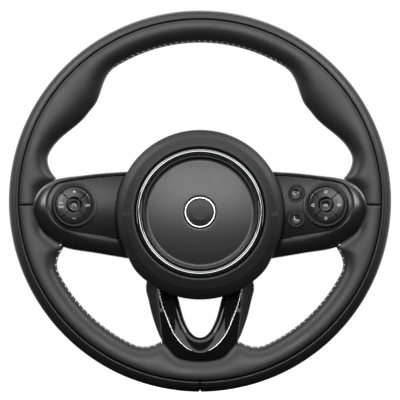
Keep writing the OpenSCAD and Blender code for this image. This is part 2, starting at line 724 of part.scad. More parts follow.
// Rear shell of the lower spoke: flanks that flare out past the trim, the back and the window's rear wall
module lower_spoke_back() {
    loops = [
        for (r = lower_rows(3))
            let (ps = [r[0], r[1]], po = [r[2], r[3]], pr = [r[4], r[5]], ph = [r[6], r[7]], t = shell_t,
                zr = ridge_z(pr[1]), zf = zr - ridge_h - trim_skirt - back_gap, zh = zr - ridge_h * 0.8,
                zw = zh - window_wall - 0.3, u = unit(ph - ps), flank = max(0, norm(ps - po) - 0.4),
                front = ps + u * flank, zk = lower_back_z(ps[1]), zs = max(zf - 1 - 0.9 * flank, zk + 6),
                at = function (p, z) [p[0], p[1], z])
                concat(
                    [at(front + u * 1.4, zf), at(front + u * 0.3, zf - 0.5), at(ps + u * 0.5, zs + 0.6),
                        at(ps, zs - 0.6), at(ps + u * 1.5, zk + 3), at(ps + u * 5, zk),
                        at(ph - u * 5, zk), at(ph - u, zk + 3), at(ph - u * 0.4, zw)],
                    [at(ph - u * (0.4 + t), zw), at(ph - u * (1 + t), zk + 3 + 0.6 * t), at(ph - u * 5, zk + t),
                        at(ps + u * 5, zk + t), at(ps + u * (1.5 + t), zk + 3 + 0.6 * t), at(ps + u * t, zs - 1),
                        at(ps + u * (0.5 + t), zs - 0.4), at(front + u * (0.3 + t), zf - 1 - 0.3 * t),
                        at(front + u * (1.4 + t), zf)])];
    color("#3a3a3c")
        difference() {
            swept(loops, turned = true);
            arms(fit_gap);
        }
}

module spring() {
    z0 = plate_z + plate_t + spring_wire / 2;
    z1 = housing_z - spring_wire / 2;
    steps = 10;
    sides = 6;
    count = floor(spring_turns * steps);
    swept([
        for (k = [0 : count])
            let (a = -k * 360 / steps, z = lerp(z0, z1, k / count))
                [for (i = [0 : sides - 1])
                    let (b = 360 * i / sides, rr = spring_r + spring_wire / 2 * cos(b))
                        [rr * cos(a), rr * sin(a), z + spring_wire / 2 * sin(b)]]], turned = true);
}

module horn_springs() {
    color("#9a9c9e") guide_places() spring();
}

module horn_guides() {
    color("#b5b8ba")
        guide_places() {
            translate([0, 0, plate_z - 1]) cylinder(r = guide_r, h = housing_z - plate_z + 1);
            translate([0, 0, plate_z - 2.4]) cylinder(r1 = guide_r - 0.6, r2 = guide_r + 1.4, h = 2.1);
        }
}

module airbag_cover() {
    function across(t) = lerp(trim_ring_r, cover_r, t);
    top = [
        [cover_r, flange_z], [cover_r, flange_z + 1.5], [across(0.954), flange_z + 3.2],
        [across(0.784), flange_z + 5.8], [across(0.711), flange_z + 6.7], [across(0.505), crown_z - 2.6],
        [across(0.206), crown_z - 0.4], [across(0.124), crown_z], [across(0.052), crown_z - 0.6],
        [trim_ring_r + groove_gap, crown_z - 1.8], [trim_ring_r + groove_gap, seat_z], [0, seat_z]];
    color("#2a2a2c")
        translate([0, hub_y, 0])
            rotate_extrude($fn = 160)
                polygon(concat(top, [
                    [0, seat_z - membrane_t], [skirt_r - cover_t, seat_z - membrane_t],
                    [skirt_r - cover_t, skirt_bottom_z], [skirt_r, skirt_bottom_z],
                    [skirt_r, seat_z - membrane_t - 1], [across(0.155), crown_z - cover_t - 0.6],
                    [across(0.474), crown_z - 2.6 - cover_t], [across(0.67), flange_z + 6.7 - cover_t],
                    [across(0.866), flange_z + 1.8], [across(0.866), flange_z]]));
}

module trim_ring() {
    w = trim_ring_w / 2;
    mid = trim_ring_r - w;
    count = 12;
    color("#d5d7d9")
        translate([0, hub_y, 0])
            rotate_extrude($fn = 160)
                polygon(concat(
                    [[mid - w, seat_z], [mid + w, seat_z]],
                    [for (i = [0 : count])
                        [mid + w * cos(180 * i / count), crown_z - 2.6 + 3.6 * sin(180 * i / count)]]));
}

module centre_disc() {
    color("#3d3d40")
        translate([0, hub_y, 0])
            rotate_extrude($fn = 160)
                polygon([
                    [0, seat_z], [disc_r, seat_z], [disc_r, crown_z - 0.8], [disc_r - 0.6, crown_z - 0.3],
                    [disc_r - 1.6, crown_z - 0.7], [disc_r - 3, crown_z - 1.6], [disc_r - 4.6, crown_z - 1.9],
                    [disc_r - 9, crown_z - 1.5], [disc_r - 20, crown_z - 0.7], [medallion_r + 2.4, crown_z - 0.1],
                    [medallion_r + recess_gap + 0.5, crown_z - 0.2], [medallion_r + recess_gap, crown_z - 0.7],
                    [medallion_r + recess_gap, seat_z + medallion_seat], [0, seat_z + medallion_seat]]);
}

module medallion() {
    color("#c9cbcd")
        translate([0, hub_y, 0])
            rotate_extrude($fn = 120)
                polygon([
                    [0, seat_z + medallion_seat], [medallion_r, seat_z + medallion_seat], [medallion_r, crown_z],
                    [medallion_r - 0.5, crown_z + 0.6], [medallion_r - 1.4, crown_z + 0.6],
                    [medallion_r - 2, crown_z], [medallion_r * 0.5, crown_z + 0.5], [0, crown_z + 0.7]]);
}

module airbag_housing() {
    color("#6f7276")
        difference() {
            translate([0, hub_y, 0])
                rotate_extrude($fn = 128)
                    polygon([
                        [inflator_r + 0.8, housing_z], [housing_r, housing_z], [housing_r, housing_top_z],
                        [housing_r - housing_t, housing_top_z], [housing_r - housing_t, housing_z + housing_t],
                        [inflator_r + 0.8, housing_z + housing_t]]);
            stud_places() translate([0, 0, housing_z - 1]) cylinder(r = stud_r + stud_gap, h = housing_t + 2);
        }
}

module stud_places() {
    for (a = [45, 135, 225, 315])
        translate([stud_circle_r * cos(a), hub_y + stud_circle_r * sin(a), 0]) children();
}

module inflator() {
    flange_top = housing_z - 0.1;
    color("#8f9396")
        difference() {
            translate([0, hub_y, 0])
                rotate_extrude($fn = 96)
                    polygon([
                        [0, inflator_z], [inflator_r - 4, inflator_z], [inflator_r, inflator_z + 4],
                        [inflator_r, flange_top - inflator_flange_t], [stud_circle_r + 3.8, flange_top - inflator_flange_t],
                        [stud_circle_r + 3.8, flange_top], [inflator_r, flange_top],
                        [inflator_r, inflator_top_z - 5], [inflator_r - 5, inflator_top_z], [0, inflator_top_z]]);
            stud_places() translate([0, 0, flange_top - inflator_flange_t - 1])
                cylinder(r = stud_r + stud_gap, h = inflator_flange_t + 2);
        }
}

module retainer_ring() {
    z0 = housing_z + housing_t + 0.1;
    color("#7a7d80") {
        translate([0, hub_y, 0]) ring_solid(inflator_r + 0.8 + retainer_w, inflator_r + 0.8, z0, z0 + retainer_t);
        stud_places() translate([0, 0, housing_z - 7]) cylinder(r = stud_r, h = z0 + retainer_t - housing_z + 7);
    }
}

module inflator_nuts() {
    top = housing_z - 0.1 - inflator_flange_t - 0.05;
    color("#c0a860")
        stud_places()
            difference() {
                translate([0, 0, top - nut_h]) cylinder(r = nut_r, h = nut_h, $fn = 6);
                translate([0, 0, top - nut_h - 1]) cylinder(r = stud_r + 0.05, h = nut_h + 2);
            }
}

module airbag_cushion() {
    z0 = housing_z + housing_t + 0.4;
    zr = housing_z + housing_t + 0.1 + retainer_t + 0.3;
    r_in = inflator_r + 1;
    r_out = housing_r - housing_t - 0.4;
    top = seat_z - membrane_t - 0.6;
    color("#d8d2c4")
        translate([0, hub_y, 0])
            rotate_extrude($fn = 96)
                polygon([
                    [r_in, zr], [r_in + retainer_w + 0.4, zr], [r_in + retainer_w + 0.4, z0], [r_out, z0],
                    [r_out, top - 4], [r_out - 4, top], [0, top], [0, inflator_top_z + 0.6],
                    [r_in, inflator_top_z + 0.6]]);
}

// Switches. Everything below is in the pod's frame, on the right side
module switch_housing() {
    r_well = keys_r + key_gap;
    flange_z0 = -panel_t - 5.6;
    difference() {
        union() {
            translate([0, 0, -well_depth - base_t]) cylinder(r = bezel_r, h = well_depth + base_t + bezel_top);
            translate([0, 0, flange_z0]) cylinder(r = bezel_r + 0.8, h = 1.5);
        }
        translate([0, 0, -lip_depth - 0.1]) cylinder(r = r_well, h = 20);
        translate([0, 0, -well_depth]) cylinder(r = r_well + key_flange, h = well_depth - lip_depth);
        translate([0, 0, bezel_top]) rotate_extrude($fn = 96)
            polygon([[bezel_r - 0.8, 0.1], [bezel_r + 1, 0.1], [bezel_r + 1, -1], [bezel_r, -1]]);
    }
    translate([-6, -bezel_r + 3, -well_depth - base_t - 5]) difference() {
        cube([12, 9, 5 + eps]);
        translate([1, 1, -1]) cube([10, 7, 5]);
    }
}

module switch_board() {
    translate([0, 0, mat_top - mat_t - board_t - 0.05]) cylinder(r = keys_r + key_gap + key_flange - 0.3, h = board_t);
}

module switch_mat() {
    difference() {
        union() {
            translate([0, 0, mat_top - mat_t]) cylinder(r = keys_r + key_gap + key_flange - 0.5, h = mat_t);
            for (a = [0 : 90 : 270])
                rotate([0, 0, a]) translate([(keys_r + well_gap) / 2, 0, mat_top - eps])
                    cylinder(r1 = 3, r2 = 2, h = stem_end - key_stroke - mat_top - 0.1);
            translate([0, 0, mat_top - eps]) cylinder(r1 = 3, r2 = 2, h = stem_end - key_stroke - mat_top - 0.1);
        }
        for (a = [45 : 90 : 315])
            rotate([0, 0, a]) translate([(keys_r + well_gap) / 2, 0, mat_top - mat_t - 1]) cylinder(r = 1.5, h = 4);
    }
}

// One quarter of the ring of keys, the one above the centre key
module ring_key() {
    g = slot_w / sqrt(2);
    span = keys_r + key_flange + 1;
    intersection() {
        rotate_extrude($fn = 96)
            polygon([
                [well_gap + key_chamfer, key_bottom], [keys_r + key_flange - 0.3, key_bottom],
                [keys_r + key_flange - 0.3, -lip_depth - 0.2], [keys_r, -lip_depth - 0.2],
                [keys_r, 0.2], [keys_r - 0.5, 0.9], [keys_r - 2, 1.5], [(keys_r + well_gap) / 2, 2.1],
                [well_gap + 1, 2.3], [well_gap + 0.3, 2], [well_gap, 1.4],
                [well_gap, key_bottom + key_chamfer]]);
        translate([0, 0, -10]) linear_extrude(20) polygon([[0, g], [span, span + g], [-span, span + g]]);
    }
    translate([-stem_w / 2, (keys_r + well_gap) / 2 - stem_w / 2, stem_end])
        cube([stem_w, stem_w, key_bottom - stem_end + 1]);
}

module centre_key() {
    rotate_extrude($fn = 64)
        polygon([
            [0, stem_end], [2, stem_end], [2, key_bottom - 1.8], [well_gap + 0.3, key_bottom - 1.8],
            [well_gap + 0.3, key_bottom - 0.8], [ok_r, key_bottom - 0.8],
            [ok_r, 1.6], [ok_r - 0.5, 2.2], [ok_r - 1.3, 2.2], [ok_r - 2.6, 1.4], [2, 0.9], [0, 0.8]]);
}

module call_switch_housing() {
    color("#1b1b1d") on_pod(1) difference() {
        union() {
            for (p = call_pos)
                translate([p[0], p[1], -10]) cylinder(r = call_bezel_r, h = 10 + 1.2);
            translate([call_pos[0][0] - 8, call_pos[1][1], -10]) cube([16, call_pos[0][1] - call_pos[1][1], 1.5]);
        }
        for (p = call_pos) {
            translate([p[0], p[1], -8.5]) cylinder(r = call_r + key_gap + 0.9, h = 8.5 - lip_depth);
            translate([p[0], p[1], -5]) cylinder(r = call_r + key_gap, h = 20);
        }
    }
}

module call_switch_board() {
    color("#1f5a3a") on_pod(1) for (p = call_pos)
        translate([p[0], p[1], -8.4]) {
            cylinder(r = call_r + key_gap + 0.6, h = 0.8);
            translate([0, 0, 0.8 - eps]) cylinder(r1 = 2.4, r2 = 1.6, h = 0.5);
        }
}

module call_key() {
    rotate_extrude($fn = 64)
        polygon([
            [0, -6.1], [1.8, -6.1], [1.8, key_bottom], [call_r + key_gap + 0.6, key_bottom],
            [call_r + key_gap + 0.6, -lip_depth - 0.2], [call_r, -lip_depth - 0.2], [call_r, 1],
            [call_r - 0.5, 1.6], [call_r - 1.2, 1.6], [call_r - 2.4, 0.9], [1.8, 0.5], [0, 0.4]]);
}

// Stands its children on the pod of one side: 1 is right, -1 is left
module on_pod(side) {
    translate([side * pod_x, pod_y, face_z]) rotate([0, -side * pod_tilt, 0]) children();
}

module left_switch_housing() {
    color("#1b1b1d") on_pod(-1) switch_housing();
}

module right_switch_housing() {
    color("#1b1b1d") on_pod(1) switch_housing();
}

module left_switch_board() {
    color("#1f5a3a") on_pod(-1) switch_board();
}

module right_switch_board() {
    color("#1f5a3a") on_pod(1) switch_board();
}

module left_switch_mat() {
    color("#8a8a86") on_pod(-1) switch_mat();
}

module right_switch_mat() {
    color("#8a8a86") on_pod(1) switch_mat();
}

module key_at(side, a) {
    color("#2e2e30") on_pod(side) rotate([0, 0, a]) ring_key();
}

module left_key_up() {
    key_at(-1, 0);
}

module left_key_left() {
    key_at(-1, 90);
}

module left_key_down() {
    key_at(-1, 180);
}

module left_key_right() {
    key_at(-1, 270);
}

module left_key_centre() {
    color("#2e2e30") on_pod(-1) centre_key();
}

module right_key_up() {
    key_at(1, 0);
}

module right_key_left() {
    key_at(1, 90);
}

module right_key_down() {
    key_at(1, 180);
}

module right_key_right() {
    key_at(1, 270);
}

module right_key_centre() {
    color("#2e2e30") on_pod(1) centre_key();
}

module voice_key() {
    color("#2e2e30") on_pod(1) translate([call_pos[0][0], call_pos[0][1], 0]) call_key();
}

module phone_key() {
    color("#2e2e30") on_pod(1) translate([call_pos[1][0], call_pos[1][1], 0]) call_key();
}

placed() armature();
placed() hub_bush();
placed() rim_foam();
placed() rim_band();
placed() upper_rim_leather();
placed() lower_rim_leather();
placed() back_cover();
placed() back_cover_screws();
placed() left_spoke_shell();
placed() right_spoke_shell();
placed() left_spoke_back();
placed() right_spoke_back();
placed() left_spoke_panel();
placed() right_spoke_panel();
placed() left_switch_housing();
placed() right_switch_housing();
placed() left_switch_board();
placed() right_switch_board();
placed() left_switch_mat();
placed() right_switch_mat();
placed() call_switch_housing();
placed() call_switch_board();
placed() lower_spoke_trim();
placed() lower_spoke_back();
placed() horn_springs();
placed() horn_guides();
placed() airbag_cover();
placed() trim_ring();
placed() centre_disc();
placed() medallion();
placed() airbag_housing();
placed() inflator();
placed() airbag_cushion();
placed() retainer_ring();
placed() inflator_nuts();
placed() left_key_up();
placed() left_key_down();
placed() left_key_left();
placed() left_key_right();
placed() left_key_centre();
placed() right_key_up();
placed() right_key_down();
placed() right_key_left();
placed() right_key_right();
placed() right_key_centre();
placed() voice_key();
placed() phone_key();
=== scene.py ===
"""Three-spoke leather car steering wheel with a round airbag module and two switch pods.

Forms are drawn as the driver sees them, in millimetres: x to the right, y up the wheel and
z towards the driver, with the rear face of the hub at z = 0. placed() turns that into the
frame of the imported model, in metres.
"""
import json
import math

import bpy
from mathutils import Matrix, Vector


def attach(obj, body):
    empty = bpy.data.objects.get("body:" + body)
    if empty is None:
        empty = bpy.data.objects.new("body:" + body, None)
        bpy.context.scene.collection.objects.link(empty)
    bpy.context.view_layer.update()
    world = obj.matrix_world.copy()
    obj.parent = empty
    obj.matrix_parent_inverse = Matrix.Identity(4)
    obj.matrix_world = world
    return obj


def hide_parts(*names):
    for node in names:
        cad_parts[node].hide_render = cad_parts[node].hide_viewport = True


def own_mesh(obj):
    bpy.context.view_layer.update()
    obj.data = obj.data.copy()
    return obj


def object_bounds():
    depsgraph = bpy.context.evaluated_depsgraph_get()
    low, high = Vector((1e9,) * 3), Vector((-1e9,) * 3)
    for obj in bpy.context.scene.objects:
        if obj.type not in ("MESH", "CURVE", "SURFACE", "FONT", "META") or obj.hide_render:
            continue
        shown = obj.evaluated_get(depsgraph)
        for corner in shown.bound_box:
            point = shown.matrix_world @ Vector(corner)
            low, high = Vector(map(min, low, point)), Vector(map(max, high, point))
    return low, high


MM = 0.001

# Rim
RIM_R = 185.0
RIM_W = 31.5
RIM_T = 29.0
RIM_Z = 72.0
LEATHER_T = 1.4
SEAM_INSET = 10.0
SEAM_GAP = 1.5
GRIP_H = 15.9
GRIP_ANGLE = 39.0
GRIP_FLAT = 2.0
GRIP_TOP_RUN = 16.5
GRIP_LOW_RUN = 22.0
JOINT_ANGLE = -2.0
JOINT_GAP = 0.12
STITCH_PITCH = 5.5
SEAM_TOP_PHI = 167.0
SEAM_LOW_PHI = 161.0
SEAM_SWING = 44.0
SEAM_SWING_ANGLE = 48.0
SEAM_SWING_RUN = 12.0
STITCH_RUNS = ((56, 124), (197, 256), (284, 343))
HALF_W = RIM_W / 2
HALF_T = RIM_T / 2
SECT_R = RIM_R - HALF_W
INNER_R = RIM_R - RIM_W
SEAM_PHI = math.degrees(math.acos((HALF_W - SEAM_INSET) / HALF_W))

# Flares of the rim's inner edge at the side spokes and the lower spoke
EAR_H = 13.6
LOWER_EAR_H = 12.4
SIDE_TOP_Y = 20.0
SIDE_LOW_Y = -46.0
LOWER_EAR_X = 36.9
SIDE_TOP_A = math.degrees(math.asin(SIDE_TOP_Y / (INNER_R - EAR_H)))
SIDE_LOW_A = math.degrees(math.asin(SIDE_LOW_Y / (INNER_R - EAR_H)))
LOWER_EAR_A = math.degrees(math.asin(LOWER_EAR_X / (INNER_R - LOWER_EAR_H))) - 90

# Airbag module
HUB_Y = -12.9
CROWN_Z = RIM_Z + 13.0
FLANGE_Z = RIM_Z + 1.6
SEAT_Z = CROWN_Z - 4.8
COVER_R = 83.6
COVER_T = 2.6
SKIRT_R = 60.5
SKIRT_BOTTOM_Z = 51.0
MEMBRANE_T = 2.4
RING_R = 62.2
DRAW_START_R = RING_R + 5
DRAW_IN = 0.16
MARK_R = 71.5
RING_W = 6.5
DISC_R = RING_R - RING_W - 0.7
DOME_DROP = 3.5
MEDALLION_R = 15.0
MEDALLION_SEAT = 1.6

# Side spokes
END_X = RIM_R - 23.8
ROOT_X = 66.0
SPOKE_MID_Y = -7.0
POD_X = 121.8
POD_Y = -5.6
POD_TILT = 14.0
FACE_Z = RIM_Z + 8.0
SPOKE_CROWN_R = 150.0
SHELL_T = 2.4
LIP_W = 2.6
LEDGE_W = 1.6
LEDGE_T = 1.6
PANEL_T = 2.5
PANEL_RECESS = 0.9
SKIRT_D = 8.0
SEAT_GAP = 0.1

# Lower spoke
LOWER_DEPTH = INNER_R - 153.5
TRIM_T = 2.2
RIDGE_H = 3.4
TRIM_SLOPE = 0.278
TRIM_BASE_Z = RIM_Z - 1.2
TRIM_BASE_Y = -96.5
TRIM_SKIRT = 5.0
WINDOW_WALL = 14.0
WINDOW_LIP = 5.0
BEAD_H = 0.2
BEAD_W = 0.9
HIGHLIGHT_NEAR_X = 7.0

# Switches and horn springs
KEYS_R = 17.9
OK_R = 6.0
PLATE_TOP_Z = 16.0
HOUSING_Z = 44.0
GUIDE_CIRCLE_R = 46.0
SPRING_R = 5.0
SPRING_WIRE = 1.3
SPRING_TURNS = 3.5
GUIDE_PLACES = (90, 200, 340)
CALL_R = 5.7
CALL_POS = ((-29.7, 12.0), (-29.3, -12.4))
WELL_GAP = OK_R + 1.4


def placed(x, y, z):
    """A point of the driver's view, in millimetres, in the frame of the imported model."""
    return Vector((x, -z, y)) * MM


def lerp(a, b, t):
    return a + (b - a) * t


def clamp01(t):
    return min(1.0, max(0.0, t))


def ease(t):
    return (1 - math.cos(math.pi * clamp01(t))) / 2


def cosd(a):
    return math.cos(math.radians(a))


def sind(a):
    return math.sin(math.radians(a))


def unit(x, y):
    length = max(math.hypot(x, y), 1e-6)
    return x / length, y / length


def curve(rows, steps):
    """A smooth run through every row of a table, with that many steps from row to row."""
    out = []
    for i in range(len(rows) - 1):
        p0 = rows[max(i - 1, 0)]
        p1 = rows[i]
        p2 = rows[i + 1]
        p3 = rows[min(i + 2, len(rows) - 1)]
        for k in range(steps):
            t = k / steps
            out.append(tuple(
                0.5 * (2 * b + (c - a) * t + (2 * a - 5 * b + 4 * c - d) * t * t
                       + (3 * b - a - 3 * c + d) * t ** 3)
                for a, b, c, d in zip(p0, p1, p2, p3)))
    out.append(tuple(rows[-1]))
    return out


# Meshes

def new_object(name, verts, faces, sharp=40.0):
    mesh = bpy.data.meshes.new(name)
    mesh.from_pydata([tuple(v) for v in verts], [], faces)
    mesh.validate()
    for polygon in mesh.polygons:
        polygon.use_smooth = True
    mesh.set_sharp_from_angle(angle=math.radians(sharp))
    obj = bpy.data.objects.new(name, mesh)
    bpy.context.scene.collection.objects.link(obj)
    return obj


def swept(name, loops, ring=False, turned=False, sharp=40.0):
    """A solid through a row of closed loops of points, drawn as the driver sees them."""
    n = len(loops[0])
    m = len(loops)
    verts = [placed(*p) for loop in loops for p in loop]
    faces = []
    for k in range(m if ring else m - 1):
        k2 = (k + 1) % m
        for j in range(n):
            j2 = (j + 1) % n
            faces.append((k * n + j, k * n + j2, k2 * n + j2, k2 * n + j))
    if not ring:
        last = (m - 1) * n
        for j in range(n // 2 - 1):
            faces.append((j + 1, j, n - 1 - j, n - 2 - j))
            faces.append((last + j, last + j + 1, last + n - 2 - j, last + n - 1 - j))
    if turned:
        faces = [tuple(reversed(f)) for f in faces]
    return new_object(name, verts, faces, sharp)


def lathe(name, profile, steps=256, sharp=35.0):
    """A solid turned about the airbag module's axis from a closed profile of radius and height."""
    n = len(profile)
    verts = []
    index = []
    for r, z in profile:
        row = []
        for k in range(steps if r > 1e-6 else 1):
            a = 2 * math.pi * k / steps
            row.append(len(verts))
            verts.append(placed(r * math.cos(a), HUB_Y + r * math.sin(a), z))
        index.append(row)
    faces = []
    for i in range(n):
        a, b = index[i], index[(i + 1) % n]
        if len(a) == 1 and len(b) == 1:
            continue
        for k in range(steps):
            k2 = (k + 1) % steps
            quad = [a[k % len(a)], a[k2 % len(a)], b[k2 % len(b)], b[k % len(b)]]
            face = []
            for v in quad:
                if v not in face:
                    face.append(v)
            faces.append(tuple(face))
    return new_object(name, verts, faces, sharp)


def rounded(points, radius, steps=4):
    """An open run of points with each inner corner rounded."""
    out = [points[0]]
    for a, b, c in zip(points, points[1:], points[2:]):
        ua = unit(a[0] - b[0], a[1] - b[1])
        uc = unit(c[0] - b[0], c[1] - b[1])
        reach = min(radius, math.dist(a, b) * 0.45, math.dist(b, c) * 0.45)
        p0 = (b[0] + ua[0] * reach, b[1] + ua[1] * reach)
        p2 = (b[0] + uc[0] * reach, b[1] + uc[1] * reach)
        for i in range(steps + 1):
            t = i / steps
            out.append(tuple(
                (1 - t) ** 2 * p + 2 * t * (1 - t) * q + t * t * r for p, q, r in zip(p0, b, p2)))
    out.append(points[-1])
    return out


def merged(parts):
    """The vertices and faces of several parts as one."""
    verts = []
    faces = []
    for part_verts, part_faces in parts:
        faces += [tuple(i + len(verts) for i in face) for face in part_faces]
        verts += part_verts
    return verts, faces


def finished(obj, body, slot, material, *nodes):
    """Gives a piece its material and body, and hides the CAD nodes that it stands for."""
    obj.data.materials.clear()
    obj.data.materials.append(material)
    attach(obj, body)
    if nodes:
        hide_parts(*nodes)
    return obj


# Materials

class Shader:
    """A material on a Principled BSDF, with short calls for the textures that feed it."""

    def __init__(self, name, color, roughness, metallic=0.0):
        self.material = bpy.data.materials.new(name)
        self.material.use_nodes = True
        self.tree = self.material.node_tree
        self.bsdf = self.tree.nodes["Principled BSDF"]
        self.bsdf.inputs["Base Color"].default_value = (*color, 1)
        self.bsdf.inputs["Roughness"].default_value = roughness
        self.bsdf.inputs["Metallic"].default_value = metallic
        self.color = color
        self.roughness = roughness
        self.coords = self.node("ShaderNodeTexCoord").outputs["Object"]
        self.height = None

    def node(self, kind):
        return self.tree.nodes.new(kind)

    def link(self, a, b):
        self.tree.links.new(a, b)

    def stretched(self, scale):
        mapping = self.node("ShaderNodeMapping")
        mapping.inputs["Scale"].default_value = scale
        self.link(self.coords, mapping.inputs["Vector"])
        return mapping.outputs["Vector"]

    def noise(self, cell_mm, detail=2.0, vector=None):
        node = self.node("ShaderNodeTexNoise")
        node.inputs["Scale"].default_value = 1 / (cell_mm * MM)
        node.inputs["Detail"].default_value = detail
        self.link(vector or self.coords, node.inputs["Vector"])
        return node.outputs["Fac"]

    def cells(self, cell_mm):
        node = self.node("ShaderNodeTexVoronoi")
        node.feature = "SMOOTH_F1"
        node.inputs["Scale"].default_value = 1 / (cell_mm * MM)
        node.inputs["Smoothness"].default_value = 0.35
        self.link(self.coords, node.inputs["Vector"])
        return node.outputs["Distance"]

    def mapped(self, value, low, high):
        node = self.node("ShaderNodeMapRange")
        node.inputs["From Min"].default_value = 0.3
        node.inputs["From Max"].default_value = 0.7
        node.inputs["To Min"].default_value = low
        node.inputs["To Max"].default_value = high
        self.link(value, node.inputs["Value"])
        return node.outputs["Result"]

    def vary_color(self, cell_mm, amount):
        """Colour that wanders a little either side of its own value."""
        mix = self.node("ShaderNodeMix")
        mix.data_type = "RGBA"
        ends = [s for s in mix.inputs if s.type == "RGBA"]
        for socket, factor in zip(ends, (1 - amount, 1 + amount)):
            socket.default_value = (*(c * factor for c in self.color), 1)
        self.link(self.noise(cell_mm, 4.0), mix.inputs[0])
        result = [s for s in mix.outputs if s.type == "RGBA"][0]
        self.link(result, self.bsdf.inputs["Base Color"])

    def vary_roughness(self, cell_mm, amount):
        wander = self.mapped(self.noise(cell_mm, 3.0), self.roughness - amount, self.roughness + amount)
        self.link(wander, self.bsdf.inputs["Roughness"])

    def bump(self, height, depth_mm, strength=1.0):
        node = self.node("ShaderNodeBump")
        node.inputs["Strength"].default_value = strength
        node.inputs["Distance"].default_value = depth_mm * MM
        self.link(height, node.inputs["Height"])
        if self.height is not None:
            self.link(self.height, node.inputs["Normal"])
        self.height = node.outputs["Normal"]
        self.link(self.height, self.bsdf.inputs["Normal"])

    def set(self, **values):
        for key, value in values.items():
            self.bsdf.inputs[key.replace("_", " ")].default_value = value


def leather(name, color, roughness, grain_mm, depth_mm):
    s = Shader(name, color, roughness)
    s.vary_color(38, 0.14)
    s.vary_roughness(24, 0.04)
    s.bump(s.cells(grain_mm), depth_mm, 0.8)
    s.bump(s.noise(grain_mm * 0.4, 4.0), depth_mm * 0.35, 0.6)
    s.bump(s.noise(14, 2.0), 0.01, 0.5)
    return s.material


def moulded(name, color, roughness, grain_mm=0.35, depth_mm=0.02, specular=0.5):
    """Plastic with the fine spark-eroded texture of a moulding tool."""
    s = Shader(name, color, roughness)
    s.vary_color(30, 0.08)
    s.vary_roughness(9, min(0.04, roughness * roughness * 0.15))
    s.bump(s.noise(grain_mm, 3.0), depth_mm, 0.5)
    s.set(Specular_IOR_Level=specular)
    return s.material


def lacquer(name, color, roughness, grain_mm, depth_mm):
    """Moulded plastic under a satin lacquer."""
    material = moulded(name, color, roughness, grain_mm, depth_mm, 0.6)
    shader = material.node_tree.nodes["Principled BSDF"]
    shader.inputs["Coat Weight"].default_value = 0.5
    shader.inputs["Coat Roughness"].default_value = 0.2
    return material


def gloss(name, color, roughness):
    """Polished black plastic under a clear coat, with the faint unevenness of a moulded part."""
    s = Shader(name, color, roughness)
    s.vary_roughness(16, 0.015)
    s.bump(s.noise(22, 1.0), 0.03, 0.4)
    s.set(Coat_Weight=0.2, Coat_Roughness=0.04, Specular_IOR_Level=0.35)
    return s.material


def metal(name, color, roughness, grain_mm=0.5, depth_mm=0.004):
    s = Shader(name, color, roughness, metallic=1.0)
    s.vary_roughness(6, min(0.05, roughness * 0.4))
    s.bump(s.noise(grain_mm, 3.0), depth_mm, 0.5)
    return s.material


def cast_metal(name, color):
    s = Shader(name, color, 0.5, metallic=1.0)
    s.vary_color(12, 0.12)
    s.vary_roughness(5, 0.1)
    s.bump(s.noise(0.6, 5.0), 0.06, 0.7)
    return s.material


def thread(name, color):
    s = Shader(name, color, 0.7)
    s.vary_color(0.5, 0.2)
    s.bump(s.noise(0.18, 2.0), 0.05, 0.8)
    s.set(Sheen_Weight=0.3)
    return s.material


def woven(name, color):
    s = Shader(name, color, 0.85)
    s.vary_color(1.4, 0.12)
    s.bump(s.noise(0.7, 2.0, s.stretched((1, 1, 4))), 0.08, 0.8)
    return s.material


def make_materials():
    return {
        "leather": leather("rim_leather", (0.0125, 0.0122, 0.0126), 0.43, 0.95, 0.014),
        "band": leather("band_leather", (0.0125, 0.0122, 0.0125), 0.39, 0.95, 0.05),
        "foam": moulded("rim_foam", (0.008, 0.008, 0.008), 0.9, 1.2, 0.2, 0.1),
        "casting": cast_metal("casting", (0.5, 0.51, 0.52)),
        "steel": metal("steel", (0.5, 0.5, 0.52), 0.32),
        "zinc": metal("zinc_plate", (0.62, 0.6, 0.54), 0.34),
        "shell": lacquer("satin_shell", (0.0055, 0.0055, 0.006), 0.28, 0.5, 0.002),
        "panel": moulded("panel", (0.008, 0.008, 0.0083), 0.27, 0.4, 0.004),
        "rear": moulded("rear_shell", (0.014, 0.014, 0.0145), 0.45, 0.5, 0.03),
        "key": moulded("key", (0.015, 0.015, 0.0155), 0.28, 0.3, 0.004),
        "bezel": moulded("bezel", (0.004, 0.004, 0.0042), 0.42, 0.5, 0.004, 0.35),
        "piano": gloss("piano_black", (0.004, 0.004, 0.0045), 0.06),
        "cover": moulded("soft_cover", (0.0085, 0.0085, 0.0088), 0.44, 0.6, 0.05, 0.45),
        "disc": moulded("disc", (0.0125, 0.0122, 0.0125), 0.32, 0.22, 0.006),
        "bright": metal("bright_ring", (0.19, 0.192, 0.196), 0.1, 2.0, 0.001),
        # Bright metal of the bead on the lower trim's ridge: a painted highlight standing in for the
        # light line on that ridge
        "highlight_strip": metal("ridge_highlight_metal", (0.75, 0.75, 0.76), 0.16),
        "coin": metal("medallion", (0.78, 0.78, 0.79), 0.14, 0.5, 0.002),
        "board": moulded("board", (0.03, 0.16, 0.09), 0.5),
        "mat": moulded("silicone", (0.3, 0.3, 0.29), 0.6),
        "cushion": woven("folded_nylon", (0.62, 0.6, 0.53)),
        "thread": thread("thread", (0.78, 0.78, 0.77)),
        "print": moulded("white_print", (0.62, 0.62, 0.62), 0.5, 0.2, 0.005),
        "enamel": moulded("black_enamel", (0.004, 0.004, 0.0044), 0.34, 0.4, 0.002, 0.3),
        # Darker gloss black of the rings round the key wells: painted shade of the recess there
        "gloss_ring_painted_shade": moulded("gloss_ring_painted_shade", (0.003, 0.003, 0.0032), 0.2, 0.4, 0.001, 0.4),
        # Horn pictograms: a lighter copy of the cover's black, a painted highlight on their relief
        "painted_highlight_mark": moulded("embossed_mark_painted_highlight", (0.075, 0.075, 0.076), 0.4, 0.4, 0.01),
    }


# Rim

def fold(a):
    """Angle above the horizontal on either side of the wheel."""
    m = a % 360
    if m > 270:
        return m - 360
    return 180 - m if m > 90 else m


